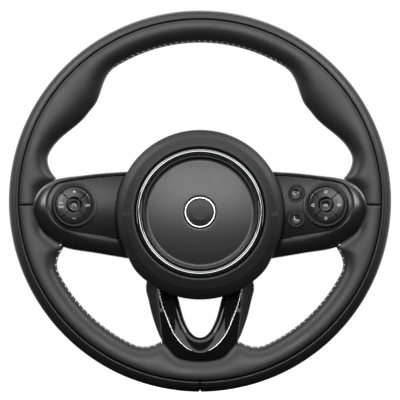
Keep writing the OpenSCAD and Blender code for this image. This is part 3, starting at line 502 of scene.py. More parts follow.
def grip_bulge(f):
    if f > GRIP_ANGLE:
        return GRIP_H * (1 - ease((f - GRIP_ANGLE - GRIP_FLAT) / GRIP_TOP_RUN))
    return GRIP_H * (1 - ease((GRIP_ANGLE - GRIP_FLAT - f) / GRIP_LOW_RUN))


def ear(u, h, out_run, in_run, rest):
    """Flare of the rim's inner edge where a spoke meets it."""
    if u >= 0:
        return h * max(0.0, 1 - u / out_run) ** 2
    return rest + (h - rest) * ease(1 + u / in_run)


def inner_pull(f):
    if f > (SIDE_TOP_A + SIDE_LOW_A) / 2:
        return max(grip_bulge(f), ear(f - SIDE_TOP_A, EAR_H, 8.5, 5.5, 2.4))
    if f > -50:
        return ear(SIDE_LOW_A - f, EAR_H + 0.5, 8, 9, 2.4)
    return ear(f - LOWER_EAR_A, LOWER_EAR_H, 9.5, 9, 1.6)


def skin(a, phi, inset):
    """Point on the rim's skin at wheel angle a and section angle phi: 0 outwards, 90 to the driver."""
    w = HALF_W if cosd(phi) >= 0 else HALF_W + inner_pull(fold(a))
    rho = SECT_R + (w - inset) * cosd(phi)
    return rho * cosd(a), rho * sind(a), RIM_Z + (HALF_T - inset) * sind(phi)


def edge_roll(d, reach=1.7, depth=1.2):
    """How far leather sinks at a distance d from the edge that is turned down into a seam."""
    if d >= reach:
        return 0.0
    t = 1 - d / reach
    return depth * (1 - math.sqrt(max(0.0, 1 - t * t)))


def edge_steps(low, high, per_mm, steps):
    """Angles from low to high, set close together near both ends."""
    near = [d * per_mm for d in (0, 0.12, 0.3, 0.55, 0.85, 1.2, 1.6)]
    middle = [lerp(low + near[-1], high - near[-1], i / steps) for i in range(1, steps)]
    return [low + d for d in near] + middle + [high - d for d in reversed(near)]


def rim_skin(name, a0, a1, phi0, phi1, step_a=0.75, steps_phi=46):
    """Leather over one stretch of the rim, with its edges turned down into the seams."""
    per_a = 180 / math.pi / SECT_R
    per_phi = 180 / math.pi / HALF_W
    angles = edge_steps(a0, a1, per_a, round((a1 - a0) / step_a))
    phis = edge_steps(phi0, phi1, per_phi, steps_phi)
    loops = []
    for a in angles:
        end = min(a - a0, a1 - a) / per_a
        outer = []
        for phi in phis:
            side = min(phi - phi0, phi1 - phi) / per_phi
            outer.append(skin(a, phi, min(max(edge_roll(end), edge_roll(side)), LEATHER_T * 0.9)))
        inner = [skin(a, phi, LEATHER_T) for phi in reversed(phis)]
        loops.append(outer + inner)
    return swept(name, loops, sharp=60)


def seam_center(f):
    """Section angle of the hand-sewn seam, which swings to the back of the thumb grips."""
    if f > 0:
        return SEAM_TOP_PHI + SEAM_SWING * (1 - ease((f - SEAM_SWING_ANGLE) / SEAM_SWING_RUN))
    return SEAM_LOW_PHI


# Slant along the rim in mm, half length in degrees of the section, and thread radius in mm
UPPER_STITCH = (2.4, 10.5, 0.32)
LOWER_STITCH = (0.7, 4.5, 0.42)


def stitch(a, slant_a, phi_mid, reach_phi, thread_r, steps=8, sides=8):
    """One slanted stitch across the seam, sunk into the leather at both ends."""
    verts = []
    faces = []
    points = []
    for i in range(steps + 1):
        t = i / steps
        lift = thread_r * (1.35 * math.sin(math.pi * t) ** 0.5 - 0.75)
        points.append(placed(*skin(a + slant_a * (t - 0.5), phi_mid + reach_phi * (1 - 2 * t), -lift)))
    for i, p in enumerate(points):
        ahead = points[min(i + 1, steps)] - points[max(i - 1, 0)]
        ahead.normalize()
        side = ahead.cross(Vector((0, 1, 0)))
        side.normalize()
        up = side.cross(ahead)
        for k in range(sides):
            b = 2 * math.pi * k / sides
            verts.append(p + (side * math.cos(b) + up * math.sin(b)) * thread_r * MM)
    for i in range(steps):
        for k in range(sides):
            k2 = (k + 1) % sides
            faces.append((i * sides + k, i * sides + k2, (i + 1) * sides + k2, (i + 1) * sides + k))
    faces.append(tuple(reversed(range(sides))))
    faces.append(tuple(steps * sides + k for k in range(sides)))
    return verts, faces


def stitches(name):
    parts = []
    per_degree = INNER_R * math.pi / 180
    for a0, a1 in STITCH_RUNS:
        count = int((a1 - a0) * per_degree / STITCH_PITCH)
        for i in range(count):
            a = a0 + (i + 0.5) * (a1 - a0) / count
            slant, reach, thread_r = UPPER_STITCH if fold(a) > 0 else LOWER_STITCH
            parts.append(stitch(a, slant / per_degree, seam_center(fold(a)), reach, thread_r))
    return new_object(name, *merged(parts))


def make_rim(mats):
    half = SEAM_GAP / 2 / HALF_W * 180 / math.pi
    phi0 = SEAM_PHI + half
    phi1 = SEAM_PHI - half
    right = JOINT_ANGLE
    left = 180 - JOINT_ANGLE
    upper = rim_skin("upper_leather", right + JOINT_GAP, left - JOINT_GAP, phi0, 360 - phi0)
    lower = rim_skin("lower_leather", left + JOINT_GAP, 360 + right - JOINT_GAP, phi0, 360 - phi0)
    band = rim_skin("outer_band", -90 + JOINT_GAP, 270 - JOINT_GAP, -phi1, phi1, steps_phi=40)
    finished(upper, "wheel", "leather", mats["leather"], "upper_rim_leather")
    finished(lower, "wheel", "leather", mats["leather"], "lower_rim_leather")
    finished(band, "wheel", "band", mats["band"], "rim_band")
    finished(stitches("hand_stitching"), "wheel", "leather", mats["thread"])


# Side spokes

def spoke_table():
    """Rows of the outer edge's x and y, the crest's x and y, and the outer edge's drop."""
    def along(t):
        return lerp(ROOT_X, END_X, t)
    return [
        (ROOT_X, 29.3, ROOT_X, 27.6, 6),
        (along(0.28), 27.1, along(0.28), 25.4, 6),
        (along(0.5), 24.3, along(0.5), 22.4, 6),
        (END_X - 29, 21.6, END_X - 30, 19, 5.6),
        (END_X - 14, 16.8, END_X - 20.5, 14.6, 4.8),
        (END_X - 4.4, 7.1, END_X - 14.4, 6, 4.2),
        (END_X, -6.5, END_X - 12.2, -5.6, 4),
        (END_X - 2.7, -19, END_X - 15.7, -17, 4.4),
        (END_X - 11, -32.2, END_X - 23.7, -26.3, 5.6),
        (END_X - 29.2, -45.5, END_X - 38.5, -33, 8),
        (along(0.36), -51.1, along(0.36), -36.8, 9),
        (ROOT_X, -56.5, ROOT_X, -41.2, 9)]


def spoke_face(x, y, d=0.0):
    """Height of the spoke's crowned face, or of the surface that lies d under it."""
    drop = SPOKE_CROWN_R - math.sqrt((SPOKE_CROWN_R - d) ** 2 - (y - SPOKE_MID_Y) ** 2)
    return FACE_Z + (x - POD_X) * math.tan(math.radians(POD_TILT)) - drop / cosd(POD_TILT)


def spoke_shell(name, side):
    """Front shell of a side spoke: a lip round the panel, rounded down to a skirt."""
    loops = []
    arc = 12
    lip = LIP_W
    ledge = LIP_W + LEDGE_W
    for r in curve(spoke_table(), 14):
        po, pc, drop = r[0:2], r[2:4], r[4]
        u = unit(pc[0] - po[0], pc[1] - po[1])
        w = math.dist(po, pc)
        crest = spoke_face(*pc) + PANEL_RECESS
        ze = crest - drop
        zp = ze - SKIRT_D

        def rail(q, z):
            return po[0] + u[0] * q, po[1] + u[1] * q, z

        def under(q, d, gap):
            p = rail(q, 0)
            return p[0], p[1], spoke_face(p[0], p[1], d) - gap

        outer = [rail(0, zp), rail(0, lerp(zp, ze, 0.5))]
        for i in range(arc + 1):
            turn = 90 * i / arc
            outer.append(rail(w * (1 - cosd(turn)), lerp(ze, crest, sind(turn))))
        outer += [
            rail(w + 0.5, crest - 0.06),
            rail(w + lip * 0.6, lerp(crest, under(w + lip, 0, 0)[2], 0.5)),
            under(w + lip - 0.25, -0.1, 0),
            under(w + lip, 0.3, 0),
            under(w + lip, PANEL_T, SEAT_GAP),
            under(w + ledge, PANEL_T, SEAT_GAP)]
        base = under(w + ledge, PANEL_T, SEAT_GAP)[2] - LEDGE_T
        inner = [rail(w + ledge, base)]
        count = len(outer) - 2
        for i in range(count):
            t = i / (count - 1)
            q = lerp(w + ledge - 0.2, SHELL_T, t)
            inner.append(rail(max(q, SHELL_T), lerp(base, min(base, ze - 1.5), t)))
        inner.append(rail(SHELL_T, zp))
        loops.append([(side * x, y, z) for x, y, z in outer + inner])
    return swept(name, loops, turned=side > 0, sharp=50)


def well_ring(name, side, x, y, r_in, r_out, rise=0.1):
    """Thin ring on the panel round a key's well, a little dished. In dark gloss it is painted shade of
    the recess round the well; in the lighter key plastic it is a painted highlight on the well's edge.
    """
    section = [(0, 1.2), (0, 0.35), (0.08, 0.12), (0.3, 0.02), (0.7, 0),
               (0.9, 0.01), (0.98, 0.06), (1, 0.14), (1, 0.7), (0.5, 1.2)]
    loops = []
    for a in range(0, 360, 3):
        loop = []
        for t, down in section:
            r = lerp(r_in, r_out, t)
            px = POD_X + side * x + r * cosd(a)
            py = POD_Y + y + r * sind(a)
            loop.append((side * px, py, spoke_face(px, py) + rise - down))
        loops.append(loop)
    return swept(name, loops, ring=True, turned=side > 0, sharp=35)


def make_side_spokes(mats):
    for side, label in ((-1, "left"), (1, "right")):
        shell = spoke_shell(label + "_spoke_front", side)
        finished(shell, "wheel", "shell", mats["shell"], label + "_spoke_shell")
        # Dark gloss ring round the well: painted shade of the recess where the panel sinks to the keys
        well = well_ring(label + "_well_ring", side, 0, 0, KEYS_R + 2.3, KEYS_R + 4.4)
        finished(well, "wheel", "bezel", mats["gloss_ring_painted_shade"])
        # Thin ring of the lighter key plastic round the well: a painted highlight standing in for the
        # light on the housing's chamfered edge
        line = well_ring(label + "_well_highlight_line", side, 0, 0, KEYS_R + 1.5, KEYS_R + 1.9, 0.55)
        finished(line, "wheel", "bezel", mats["key"])
    for label, (x, y) in zip(("voice", "phone"), CALL_POS):
        # The same painted shade round the call keys
        well = well_ring(label + "_well_ring", 1, x, y, CALL_R + 1.6, CALL_R + 3.0)
        finished(well, "wheel", "bezel", mats["gloss_ring_painted_shade"])


# Lower spoke

def lower_table():
    d = LOWER_DEPTH
    return [
        (-48, -62, -44, -64, -42, -66, -27.5, -70),
        (-52.9, -82.5, -41.8, -86.5, -39.3, -88, -22.8, -89),
        (-50.3, -95.8, -40.8, -98, -37, -99.5, -20, -98.5),
        (-45.1, -115.8, -38.6, -117, -32, -114, -15.8, -114),
        (-36.4, -136.5 - d, -35.6, -136.2 - d, -25.4, -129 - d, -10.8, -125 - d),
        (-25.4, -146 - d, -25.8, -147.6 - d, -16.6, -140 - d, -6.4, -130.4 - d),
        (-12.5, -150 - d, -12.9, -154 - d, -8, -145.6 - d, -3.1, -132.4 - d),
        (0, -151 - d, 0, -155.8 - d, 0, -147.6 - d, 0, -132.9 - d)]


def lower_rows(steps):
    left = lower_table()
    right = [tuple(v if i % 2 else -v for i, v in enumerate(r)) for r in reversed(left[:-1])]
    return curve(left + right, steps)


def ridge_z(y):
    return TRIM_BASE_Z + (TRIM_BASE_Y - y) * TRIM_SLOPE


def lower_trim(name):
    """Gloss trim of the lower spoke: two faces that meet at a ridge, a skirt and the window's wall."""
    loops = []
    for r in lower_rows(10):
        po, pr, ph = r[2:4], r[4:6], r[6:8]
        u = unit(pr[0] - po[0], pr[1] - po[1])
        v = unit(ph[0] - pr[0], ph[1] - pr[1])
        zr = ridge_z(pr[1])
        zo = zr - RIDGE_H
        zh = zr - RIDGE_H * 0.8

        def at(p, d, q, z):
            return p[0] + d[0] * q, p[1] + d[1] * q, z

        outer = [at(po, u, 0, zo - TRIM_SKIRT), at(po, u, 0, zo - 0.3), at(po, u, 0.25, zo + 0.25)]
        outer += curve([
            at(po, u, 0.8, zo + 0.6), at(pr, u, -BEAD_W, zr - 0.2),
            at(pr, u, -BEAD_W * 0.45, zr + BEAD_H * 0.6), at(pr, u, 0, zr + BEAD_H),
            at(pr, v, BEAD_W * 0.45, zr + BEAD_H * 0.6), at(pr, v, BEAD_W, zr - 0.2)], 3)
        outer += curve([
            at(ph, v, -WINDOW_LIP - 0.6, zh + 0.02), at(ph, v, -WINDOW_LIP, zh),
            at(ph, v, -WINDOW_LIP * 0.45, zh - WINDOW_LIP * 0.35),
            at(ph, v, -WINDOW_LIP * 0.1, zh - WINDOW_LIP * 0.9), at(ph, v, 0, zh - WINDOW_LIP * 1.3),
            at(ph, v, 0, zh - WINDOW_WALL)], 3)
        t = TRIM_T
        back = curve([
            at(ph, v, -t, zh - WINDOW_WALL), at(ph, v, -t, zh - WINDOW_LIP * 1.3),
            at(ph, v, -WINDOW_LIP * 0.45 - 0.7 * t, zh - WINDOW_LIP * 0.35 - 0.7 * t),
            at(ph, v, -WINDOW_LIP, zh - t), at(pr, u, 0, zr - t), at(po, u, t, zo - t + 0.8),
            at(po, u, t, zo - TRIM_SKIRT)], 6)
        while len(back) > len(outer):
            back.pop(len(back) // 2)
        while len(back) < len(outer):
            i = len(back) // 2
            back.insert(i, tuple((p + q) / 2 for p, q in zip(back[i - 1], back[i])))
        loops.append(outer + back)
    return swept(name, loops, sharp=35)


def bead_strip(points):
    """A half-round bead along a line, thin at both of its ends."""
    n = len(points)
    loops = []
    for i, p in enumerate(points):
        a, b = points[max(i - 1, 0)], points[min(i + 1, n - 1)]
        t = unit(b[0] - a[0], b[1] - a[1])
        fade = clamp01(min(i, n - 1 - i) / 14) ** 0.6
        half = 0.12 + 0.45 * fade
        loops.append([
            (p[0] - t[1] * half * cosd(q), p[1] + t[0] * half * cosd(q),
             p[2] - 0.35 + (0.4 + 0.35 * fade) * sind(q)) for q in range(0, 181, 20)])
    k = len(loops[0])
    verts = [placed(*p) for loop in loops for p in loop]
    faces = []
    for i in range(1, n):
        for j in range(k):
            j2 = (j + 1) % k
            faces.append((i * k + j, i * k + j2, (i - 1) * k + j2, (i - 1) * k + j))
    faces.append(tuple(range((n - 1) * k, n * k)))
    faces.append(tuple(reversed(range(k))))
    return verts, faces


def ridge_highlight_bead(name):
    """Thin bright metal bead down both legs of the ridge, which fades away before the foot. It stands in
    for the line of light on the gloss trim's ridge: a painted highlight.
    """
    rows = [r for r in lower_rows(24) if -146.6 < r[5] < -84]
    parts = []
    for side in (-1, 1):
        parts.append(bead_strip([
            (r[4], r[5], ridge_z(r[5]) + BEAD_H) for r in rows if r[4] * side > HIGHLIGHT_NEAR_X]))
    return new_object(name, *merged(parts), 60)


def make_lower_spoke(mats):
    finished(lower_trim("lower_gloss_trim"), "wheel", "piano", mats["piano"], "lower_spoke_trim")
    # Bright bead on the ridge: a painted highlight of the trim's crease
    finished(ridge_highlight_bead("ridge_highlight_bead"), "wheel", "bright", mats["highlight_strip"])


# Airbag module

def draw_in(cover):
    """The cover's outer edge is drawn in everywhere but at its foot, where it meets the lower spoke."""
    for v in cover.data.vertices:
        x = v.co.x / MM
        z = v.co.z / MM - HUB_Y
        r = math.hypot(x, z)
        if r > DRAW_START_R:
            foot = ease((-z / r - 0.45) / 0.25)
            k = lerp(DRAW_START_R, r, 1 - DRAW_IN * (1 - foot)) / r
            v.co.x = x * k * MM
            v.co.z = (z * k + HUB_Y) * MM


def make_airbag_module(mats):
    inner_lip = RING_R + 0.4
    top = rounded([
        (COVER_R, FLANGE_Z), (COVER_R, FLANGE_Z + 1.5), (COVER_R - 0.9, FLANGE_Z + 3.2),
        (COVER_R - 4.2, FLANGE_Z + 5.8), (COVER_R - 5.6, FLANGE_Z + 6.7), (74, CROWN_Z - 2.6),
        (RING_R + 4, CROWN_Z - 0.4), (RING_R + 2.4, CROWN_Z), (RING_R + 1, CROWN_Z - 0.6),
        (inner_lip, CROWN_Z - 1.8), (inner_lip, SEAT_Z), (0, SEAT_Z)], 1.1, 5)
    under = [
        (0, SEAT_Z - MEMBRANE_T), (SKIRT_R - COVER_T, SEAT_Z - MEMBRANE_T),
        (SKIRT_R - COVER_T, SKIRT_BOTTOM_Z), (SKIRT_R, SKIRT_BOTTOM_Z),
        (SKIRT_R, SEAT_Z - MEMBRANE_T - 1),
        (RING_R + 3, CROWN_Z - COVER_T - 0.6), (74 - 0.6, CROWN_Z - 2.6 - COVER_T),
        (COVER_R - 5.6 - 0.8, FLANGE_Z + 6.7 - COVER_T), (COVER_R - COVER_T, FLANGE_Z + 1.8),
        (COVER_R - COVER_T, FLANGE_Z)]
    cover = lathe("soft_cover", top + under)
    draw_in(cover)
    finished(cover, "airbag_module", "cover", mats["cover"], "airbag_cover")

    w = RING_W / 2
    mid = RING_R - w
    arc = [(mid + w * cosd(180 * i / 24), CROWN_Z - 2.6 + 3.6 * sind(180 * i / 24)) for i in range(25)]
    ring = lathe("bright_ring", [(mid - w, SEAT_Z), (mid + w, SEAT_Z)] + arc)
    finished(ring, "airbag_module", "bright", mats["bright"], "trim_ring")

    seat = SEAT_Z + MEDALLION_SEAT
    dome_r = DISC_R - 4.6
    dome = [lerp(dome_r, MEDALLION_R + 2.2, i / 12) for i in range(13)]
    face = rounded([
        (DISC_R, SEAT_Z), (DISC_R, CROWN_Z - 0.8), (DISC_R - 0.6, CROWN_Z - 0.3),
        (DISC_R - 1.6, CROWN_Z - 0.7), (DISC_R - 2.6, CROWN_Z - 3.1)] + [
        (r, CROWN_Z - DOME_DROP * (r / dome_r) ** 2) for r in dome] + [
        (MEDALLION_R + 1, CROWN_Z - 0.5), (MEDALLION_R + 0.5, CROWN_Z - 0.9),
        (MEDALLION_R + 0.5, seat), (0, seat)], 1.4, 5)
    disc = lathe("face_disc", [(0, SEAT_Z)] + face)
    finished(disc, "airbag_module", "disc", mats["disc"], "centre_disc")

    coin = lathe("plain_medallion", [(0, seat)] + rounded([
        (MEDALLION_R, seat), (MEDALLION_R, CROWN_Z + 0.1), (MEDALLION_R - 0.4, CROWN_Z + 0.7),
        (MEDALLION_R - 1.5, CROWN_Z + 0.7), (MEDALLION_R - 2, CROWN_Z), (MEDALLION_R - 2, CROWN_Z - 0.6),
        (0, CROWN_Z - 0.6)], 0.35, 4))
    finished(coin, "airbag_module", "coin", mats["coin"], "medallion")
    enamel = lathe("medallion_enamel", [(0, CROWN_Z - 0.6)] + rounded([
        (MEDALLION_R - 2, CROWN_Z - 0.6), (MEDALLION_R - 2, CROWN_Z - 0.1),
        (MEDALLION_R - 3.2, CROWN_Z + 0.05),
        (MEDALLION_R * 0.5, CROWN_Z + 0.45), (0, CROWN_Z + 0.6)], 0.3, 4))
    finished(enamel, "airbag_module", "coin", mats["enamel"])


def coil(cx, cy):
    """A coil spring with closed end coils, between the hub plate and the module's housing."""
    wire_r = SPRING_WIRE / 2
    low = PLATE_TOP_Z + wire_r
    high = HOUSING_Z - wire_r
    steps = 24
    sides = 10
    count = int((SPRING_TURNS + 1) * steps)
    verts = []
    faces = []
    for k in range(count + 1):
        a = -360 * k / steps
        z = lerp(low, high, clamp01((k / steps - 0.5) / SPRING_TURNS))
        for i in range(sides):
            b = 360 * i / sides
            r = SPRING_R + wire_r * cosd(b)
            verts.append(placed(cx + r * cosd(a), cy + r * sind(a), z + wire_r * sind(b)))
    for k in range(count):
        for i in range(sides):
            i2 = (i + 1) % sides
            a = sides * k
            faces.append((a + i, a + sides + i, a + sides + i2, a + i2))
    faces.append(tuple(range(sides)))
    faces.append(tuple(sides * count + i for i in reversed(range(sides))))
    return verts, faces


def horn_springs(name):
    parts = [coil(GUIDE_CIRCLE_R * cosd(a), HUB_Y + GUIDE_CIRCLE_R * sind(a)) for a in GUIDE_PLACES]
    return new_object(name, *merged(parts), 60)


def make_springs(mats):
    springs = finished(horn_springs("coil_springs"), "wheel", "steel", mats["steel"], "horn_springs")
    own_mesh(springs)


# Marks

def stroke(points, width, height_at, lift=0.05):
    """A flat ribbon along a line of points, laid on a surface whose height height_at gives."""
    verts = []
    faces = []
    n = len(points)
    for i, p in enumerate(points):
        a = points[max(i - 1, 0)]
        b = points[min(i + 1, n - 1)]
        t = unit(b[0] - a[0], b[1] - a[1])
        for s in (-1, 1):
            q = (p[0] - t[1] * s * width / 2, p[1] + t[0] * s * width / 2)
            verts.append((q[0], q[1], height_at(*q) + lift))
            verts.append((q[0], q[1], height_at(*q) - lift))
    for i in range(n - 1):
        a, b = 4 * i, 4 * i + 4
        faces += [(a, b, b + 2, a + 2), (a + 1, a + 3, b + 3, b + 1),
                  (a, a + 1, b + 1, b), (a + 2, b + 2, b + 3, a + 3)]
    faces += [(0, 2, 3, 1), (4 * n - 4, 4 * n - 3, 4 * n - 1, 4 * n - 2)]
    return verts, faces


def dense(points, step=0.3):
    """The same line with more points on it, so that it follows a curved surface."""
    out = []
    for a, b in zip(points, points[1:]):
        count = max(1, int(math.dist(a, b) / step))
        for i in range(count):
            out.append((lerp(a[0], b[0], i / count), lerp(a[1], b[1], i / count)))
    out.append(points[-1])
    return out


def arc_points(cx, cy, r, a0, a1, steps=14):
    return [(cx + r * cosd(lerp(a0, a1, i / steps)), cy + r * sind(lerp(a0, a1, i / steps)))
            for i in range(steps + 1)]


def dished(rows):
    """A key's height over the spoke's face, from rows of radius and height."""
    def height(x, y):
        r = math.hypot(x, y)
        for (r0, z0), (r1, z1) in zip(rows, rows[1:]):
            if r <= r1:
                return lerp(z0, z1, clamp01((r - r0) / (r1 - r0)))
        return rows[-1][1]
    return height


ring_key_height = dished([
    (WELL_GAP + 0.3, 2.0), (WELL_GAP + 1, 2.3), ((KEYS_R + WELL_GAP) / 2, 2.1),
    (KEYS_R - 2, 1.5), (KEYS_R - 0.5, 0.9)])
centre_key_height = dished([(0, 0.8), (2, 0.9), (OK_R - 2.6, 1.4), (OK_R - 1.3, 2.2)])
call_key_height = dished([(0, 0.4), (1.8, 0.5), (CALL_R - 2.4, 0.9), (CALL_R - 1.2, 1.6)])


def pod_place(side, x, y, z):
    """A point in the frame of a switch pod, as the driver sees it."""
    c, s = cosd(POD_TILT), sind(POD_TILT)
    return side * POD_X + x * c - side * z * s, POD_Y + y, FACE_Z + side * x * s + z * c


def mark(name, body, side, lines, width, height_at, material, offset=(0, 0)):
    """Printed marks on a pod's key, as ribbons."""
    verts, faces = merged([stroke(dense(line), width, height_at) for line in lines])
    verts = [placed(*pod_place(side, x + offset[0], y + offset[1], z)) for x, y, z in verts]
    finished(new_object(name, verts, faces), body, "key", material)


def horn_marks(mats):
    """Faint horn pictograms on either side of the soft cover's rounded face, in a lighter grey than the
    cover: a painted highlight on their low relief.
    """
    def cover_height(x, y):
        r = math.hypot(x, y - HUB_Y)
        return lerp(CROWN_Z - 0.4, CROWN_Z - 2.6, clamp01((r - RING_R - 4) / (70 - RING_R)))

    for side, label in ((-1, "left"), (1, "right")):
        cx = side * MARK_R
        cy = HUB_Y - 1
        bell = [(0.9, 1.1), (2.7, 2), (2.7, -2), (0.9, -1.1)]
        tube = [(0.9, 0.5), (-2.4, 0.5), (-2.8, 0), (-2.4, -0.5), (0.9, -0.5)]
        mouth = arc_points(-0.9, -0.9, 0.9, 180, 360)
        lines = [[(cx + x, cy + y) for x, y in line] for line in (bell, tube, mouth)]
        verts, faces = merged([stroke(dense(line), 0.35, cover_height) for line in lines])
        horn = new_object("mark_horn_" + label, [placed(*v) for v in verts], faces)
        finished(horn, "airbag_module", "cover", mats["painted_highlight_mark"])


def gap_lines():
    """Fine grooves that run beside the two upper gaps between the ring keys."""
    beside = 1.3
    slope = math.sqrt(0.5)
    return [[(s * (r - beside) * slope, (r + beside) * slope) for r in (8.9, 16.4)] for s in (-1, 1)]


def make_marks(mats):
    horn_marks(mats)
    for side, label in ((-1, "left"), (1, "right")):
        mark("groove_" + label, label + "_key_up", side, gap_lines(), 0.4, ring_key_height,
             mats["bezel"])
    white = mats["print"]
    mid = (KEYS_R + WELL_GAP) / 2 + 0.2

    def left(name, body, lines, width=0.6, height=ring_key_height):
        mark(name, body, -1, lines, width, height, white)

    def right(name, body, lines, width=0.6, height=ring_key_height):
        mark(name, body, 1, lines, width, height, white)

    left("mark_plus", "left_key_up", [
        [(-1.4, mid), (1.4, mid)], [(0, mid - 1.4), (0, mid + 1.4)]])
    left("mark_minus", "left_key_down", [[(-1.4, -mid), (1.4, -mid)]])
    left("mark_gauge", "left_key_left", [
        arc_points(-mid, 1.2, 1.5, -20, 200), [(-mid, 1.2), (-mid + 0.9, 2.1)],
        arc_points(-mid - 1.3, -2, 0.9, 0, 360), arc_points(-mid + 1.3, -2, 0.9, 0, 360)], 0.42)
    left("mark_limit", "left_key_right", [
        [(mid - 2.2, 1.1), (mid - 2.2, -1.1), (mid - 1, -1.1)], [(mid - 0.4, -1.1), (mid - 0.4, 1.1)],
        [(mid + 0.4, -1.1), (mid + 0.4, 1.1), (mid + 1.3, -0.2), (mid + 2.2, 1.1),
         (mid + 2.2, -1.1)]], 0.42)
    left("mark_cruise", "left_key_centre", [
        arc_points(0, -0.2, 1.9, -35, 215), [(0, -0.2), (1, 0.9)]], 0.4, centre_key_height)

    def diamond(cx, cy, r):
        return [(cx, cy + r), (cx + r, cy), (cx, cy - r), (cx - r, cy), (cx, cy + r)]

    right("mark_up", "right_key_up", [diamond(0, mid, 1.5)], 0.5)
    right("mark_down", "right_key_down", [diamond(0, -mid, 1.5)], 0.5)
    right("mark_left", "right_key_left", [
        [(-mid - 1.5, 0), (-mid + 1.1, 1.5), (-mid + 1.1, -1.5), (-mid - 1.5, 0)]], 0.55)
    right("mark_four_way", "right_key_right", [
        [(mid - 2, 0), (mid + 2, 0)], [(mid, -2), (mid, 2)],
        [(mid - 1.1, 0.8), (mid - 2, 0), (mid - 1.1, -0.8)],
        [(mid + 1.1, 0.8), (mid + 2, 0), (mid + 1.1, -0.8)]], 0.5)
    right("mark_ok", "right_key_centre", [
        arc_points(-1.1, 0, 1, 0, 360), [(0.4, 1), (0.4, -1)],
        [(1.8, 1), (0.5, 0), (1.8, -1)]], 0.42, centre_key_height)
    voice = [arc_points(-1.6, 0.5, 1.1, 40, 320), [(-0.9, -1.4), (0.2, -1.9)],
             arc_points(0.2, 0.5, 1.3, -50, 50), arc_points(0.4, 0.5, 2.2, -45, 45)]
    mark("mark_voice", "voice_key", 1, voice, 0.45, call_key_height, white, CALL_POS[0])
    phone = [curve([(-2.2, 1.9), (-2, 0.2), (-0.6, -1.5), (1.2, -2.1), (2.4, -2)], 4),
             [(-2.4, 2), (-1.3, 2)], [(1.9, -1.1), (2.6, -1.7)]]
    mark("mark_phone", "phone_key", 1, phone, 0.7, call_key_height, white, CALL_POS[1])


# Parts shown as they come from the frame

def dress_nodes(frame, mats):
    slots = {s["node"]: s["material_slot"] for s in frame["record"]["subparts"]}
    for name, obj in frame["nodes"].items():
        obj.data.materials.clear()
        obj.data.materials.append(mats[slots[name]])


# Stage, lights and camera

FLOOR_GAP = 0.0005
FLOOR_GLOW = 0.82
FLOOR_DARK = 0.04
FLOOR_SEEN = 0.46
WORLD_DIFFUSE = 0.10
WORLD_FRONT = 0.05
CAMERA_DISTANCE = 2.2
CAMERA_ELEVATION = -4.0
PICTURE_SPAN = 0.3873
SENSOR_WIDTH = 36


def facing(azimuth, elevation):
    """Direction from the wheel to a place round it; azimuth 0 is the driver's."""
    return Vector((
        sind(azimuth) * cosd(elevation), -cosd(azimuth) * cosd(elevation), sind(elevation)))


def studio_level(tree, coordinate, diffuse, front):
    """Strength of the backdrop: white where the camera or glass sees it, white behind the object
    in a reflection and dark in front of it, and one soft level for the light it gives. Also gives
    where it is seen straight."""
    path = tree.nodes.new("ShaderNodeLightPath")
    split = tree.nodes.new("ShaderNodeSeparateXYZ")
    tree.links.new(coordinate, split.inputs[0])
    behind = tree.nodes.new("ShaderNodeMapRange")
    behind.interpolation_type = "SMOOTHSTEP"
    behind.inputs["From Min"].default_value = -0.05
    behind.inputs["From Max"].default_value = 0.6
    behind.inputs["To Min"].default_value = front
    behind.inputs["To Max"].default_value = 1.0
    tree.links.new(split.outputs["Y"], behind.inputs["Value"])
    mirrored = tree.nodes.new("ShaderNodeMix")
    mirrored.data_type = "FLOAT"
    mirrored.inputs[2].default_value = diffuse
    tree.links.new(path.outputs["Is Glossy Ray"], mirrored.inputs[0])
    tree.links.new(behind.outputs["Result"], mirrored.inputs[3])
    seen = tree.nodes.new("ShaderNodeMath")
    seen.operation = "MAXIMUM"
    tree.links.new(path.outputs["Is Camera Ray"], seen.inputs[0])
    tree.links.new(path.outputs["Is Transmission Ray"], seen.inputs[1])
    level = tree.nodes.new("ShaderNodeMix")
    level.data_type = "FLOAT"
    level.inputs[3].default_value = 1.0
    tree.links.new(seen.outputs[0], level.inputs[0])
    tree.links.new(mirrored.outputs[0], level.inputs[2])
    return level.outputs[0], seen.outputs[0]


def make_world():
    world = bpy.data.worlds.new("studio")
    bpy.context.scene.world = world
    world.use_nodes = True
    tree = world.node_tree
    background = tree.nodes["Background"]
    coords = tree.nodes.new("ShaderNodeTexCoord")
    level = studio_level(tree, coords.outputs["Generated"], WORLD_DIFFUSE, WORLD_FRONT)[0]
    tree.links.new(level, background.inputs["Strength"])
    background.inputs["Color"].default_value = (1, 1, 1, 1)


def make_floor():
    half = 1.6
    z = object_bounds()[0][2] - FLOOR_GAP
    mesh = bpy.data.meshes.new("floor")
    corner_points = [(-half, -half, z), (half, -half, z), (half, half, z), (-half, half, z)]
    mesh.from_pydata(corner_points, [], [(0, 1, 2, 3)])
    floor = bpy.data.objects.new("floor", mesh)
    bpy.context.scene.collection.objects.link(floor)
    s = Shader("pale_floor", (0.5, 0.5, 0.5), 0.9)
    s.set(Specular_IOR_Level=0.0, Emission_Color=(1, 1, 1, 1))
    s.vary_roughness(60, 0.05)
    level, seen = studio_level(s.tree, s.coords, 0.0, 0.0)
    glow = s.node("ShaderNodeMath")
    glow.operation = "MULTIPLY"
    glow.inputs[1].default_value = FLOOR_GLOW
    s.link(level, glow.inputs[0])
    s.link(glow.outputs[0], s.bsdf.inputs["Emission Strength"])
    pale = s.node("ShaderNodeMath")
    pale.operation = "MULTIPLY_ADD"
    pale.inputs[1].default_value = FLOOR_SEEN
    pale.inputs[2].default_value = FLOOR_DARK
    s.link(seen, pale.inputs[0])
    s.link(pale.outputs[0], s.bsdf.inputs["Base Color"])
    mesh.materials.append(s.material)


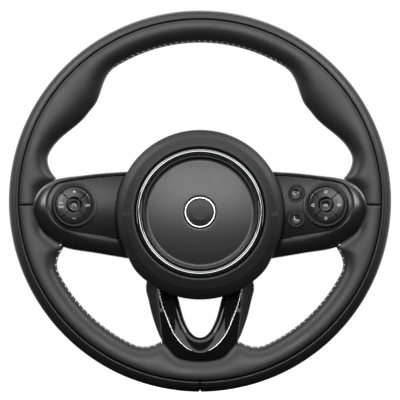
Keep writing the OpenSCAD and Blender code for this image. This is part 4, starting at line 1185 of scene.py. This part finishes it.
def softbox(name, azimuth, elevation, distance, width, height, power):
    direction = facing(azimuth, elevation)
    data = bpy.data.lights.new(name, "AREA")
    data.shape = "RECTANGLE"
    data.size = width
    data.size_y = height
    data.energy = power
    lamp = bpy.data.objects.new(name, data)
    lamp.location = placed(0, 0, RIM_Z) + direction * distance
    lamp.rotation_euler = direction.to_track_quat("Z", "Y").to_euler()
    bpy.context.scene.collection.objects.link(lamp)


def make_lights():
    for side, label in ((-1, "left"), (1, "right")):
        softbox("softbox_high_" + label, side * 68, 38, 1.4, 0.5, 0.85, 9)
        softbox("softbox_side_" + label, side * 80, 6, 1.4, 0.3, 0.9, 2)
    softbox("softbox_centre", 0, 12, 1.5, 1.15, 0.42, 12)
    softbox("softbox_upper", 0, 25, 1.5, 1.15, 0.28, 3)
    softbox("softbox_above", 0, 67, 1.3, 1.6, 1.0, 12)
    softbox("softbox_behind", 180, 40, 1.8, 1.4, 1.0, 8)


def make_camera():
    data = bpy.data.cameras.new("camera")
    data.sensor_width = SENSOR_WIDTH
    data.lens = SENSOR_WIDTH * CAMERA_DISTANCE / PICTURE_SPAN
    data.clip_end = 20
    camera = bpy.data.objects.new("camera", data)
    direction = facing(0, CAMERA_ELEVATION)
    camera.location = placed(0, 0, RIM_Z) + direction * CAMERA_DISTANCE
    camera.rotation_euler = direction.to_track_quat("Z", "Y").to_euler()
    bpy.context.scene.collection.objects.link(camera)
    bpy.context.scene.camera = camera


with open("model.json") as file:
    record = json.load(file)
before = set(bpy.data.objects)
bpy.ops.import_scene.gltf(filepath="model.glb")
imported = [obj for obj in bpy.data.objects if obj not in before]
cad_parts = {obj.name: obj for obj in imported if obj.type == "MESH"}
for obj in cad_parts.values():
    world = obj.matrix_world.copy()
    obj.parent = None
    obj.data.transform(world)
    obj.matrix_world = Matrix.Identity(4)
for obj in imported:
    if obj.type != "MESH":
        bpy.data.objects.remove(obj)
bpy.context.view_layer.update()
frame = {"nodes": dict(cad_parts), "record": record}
make_camera()
materials = make_materials()
dress_nodes(frame, materials)
make_rim(materials)
make_side_spokes(materials)
make_lower_spoke(materials)
make_airbag_module(materials)
make_springs(materials)
make_marks(materials)
make_world()
make_floor()
make_lights()
bpy.context.scene.view_settings.view_transform = "Standard"
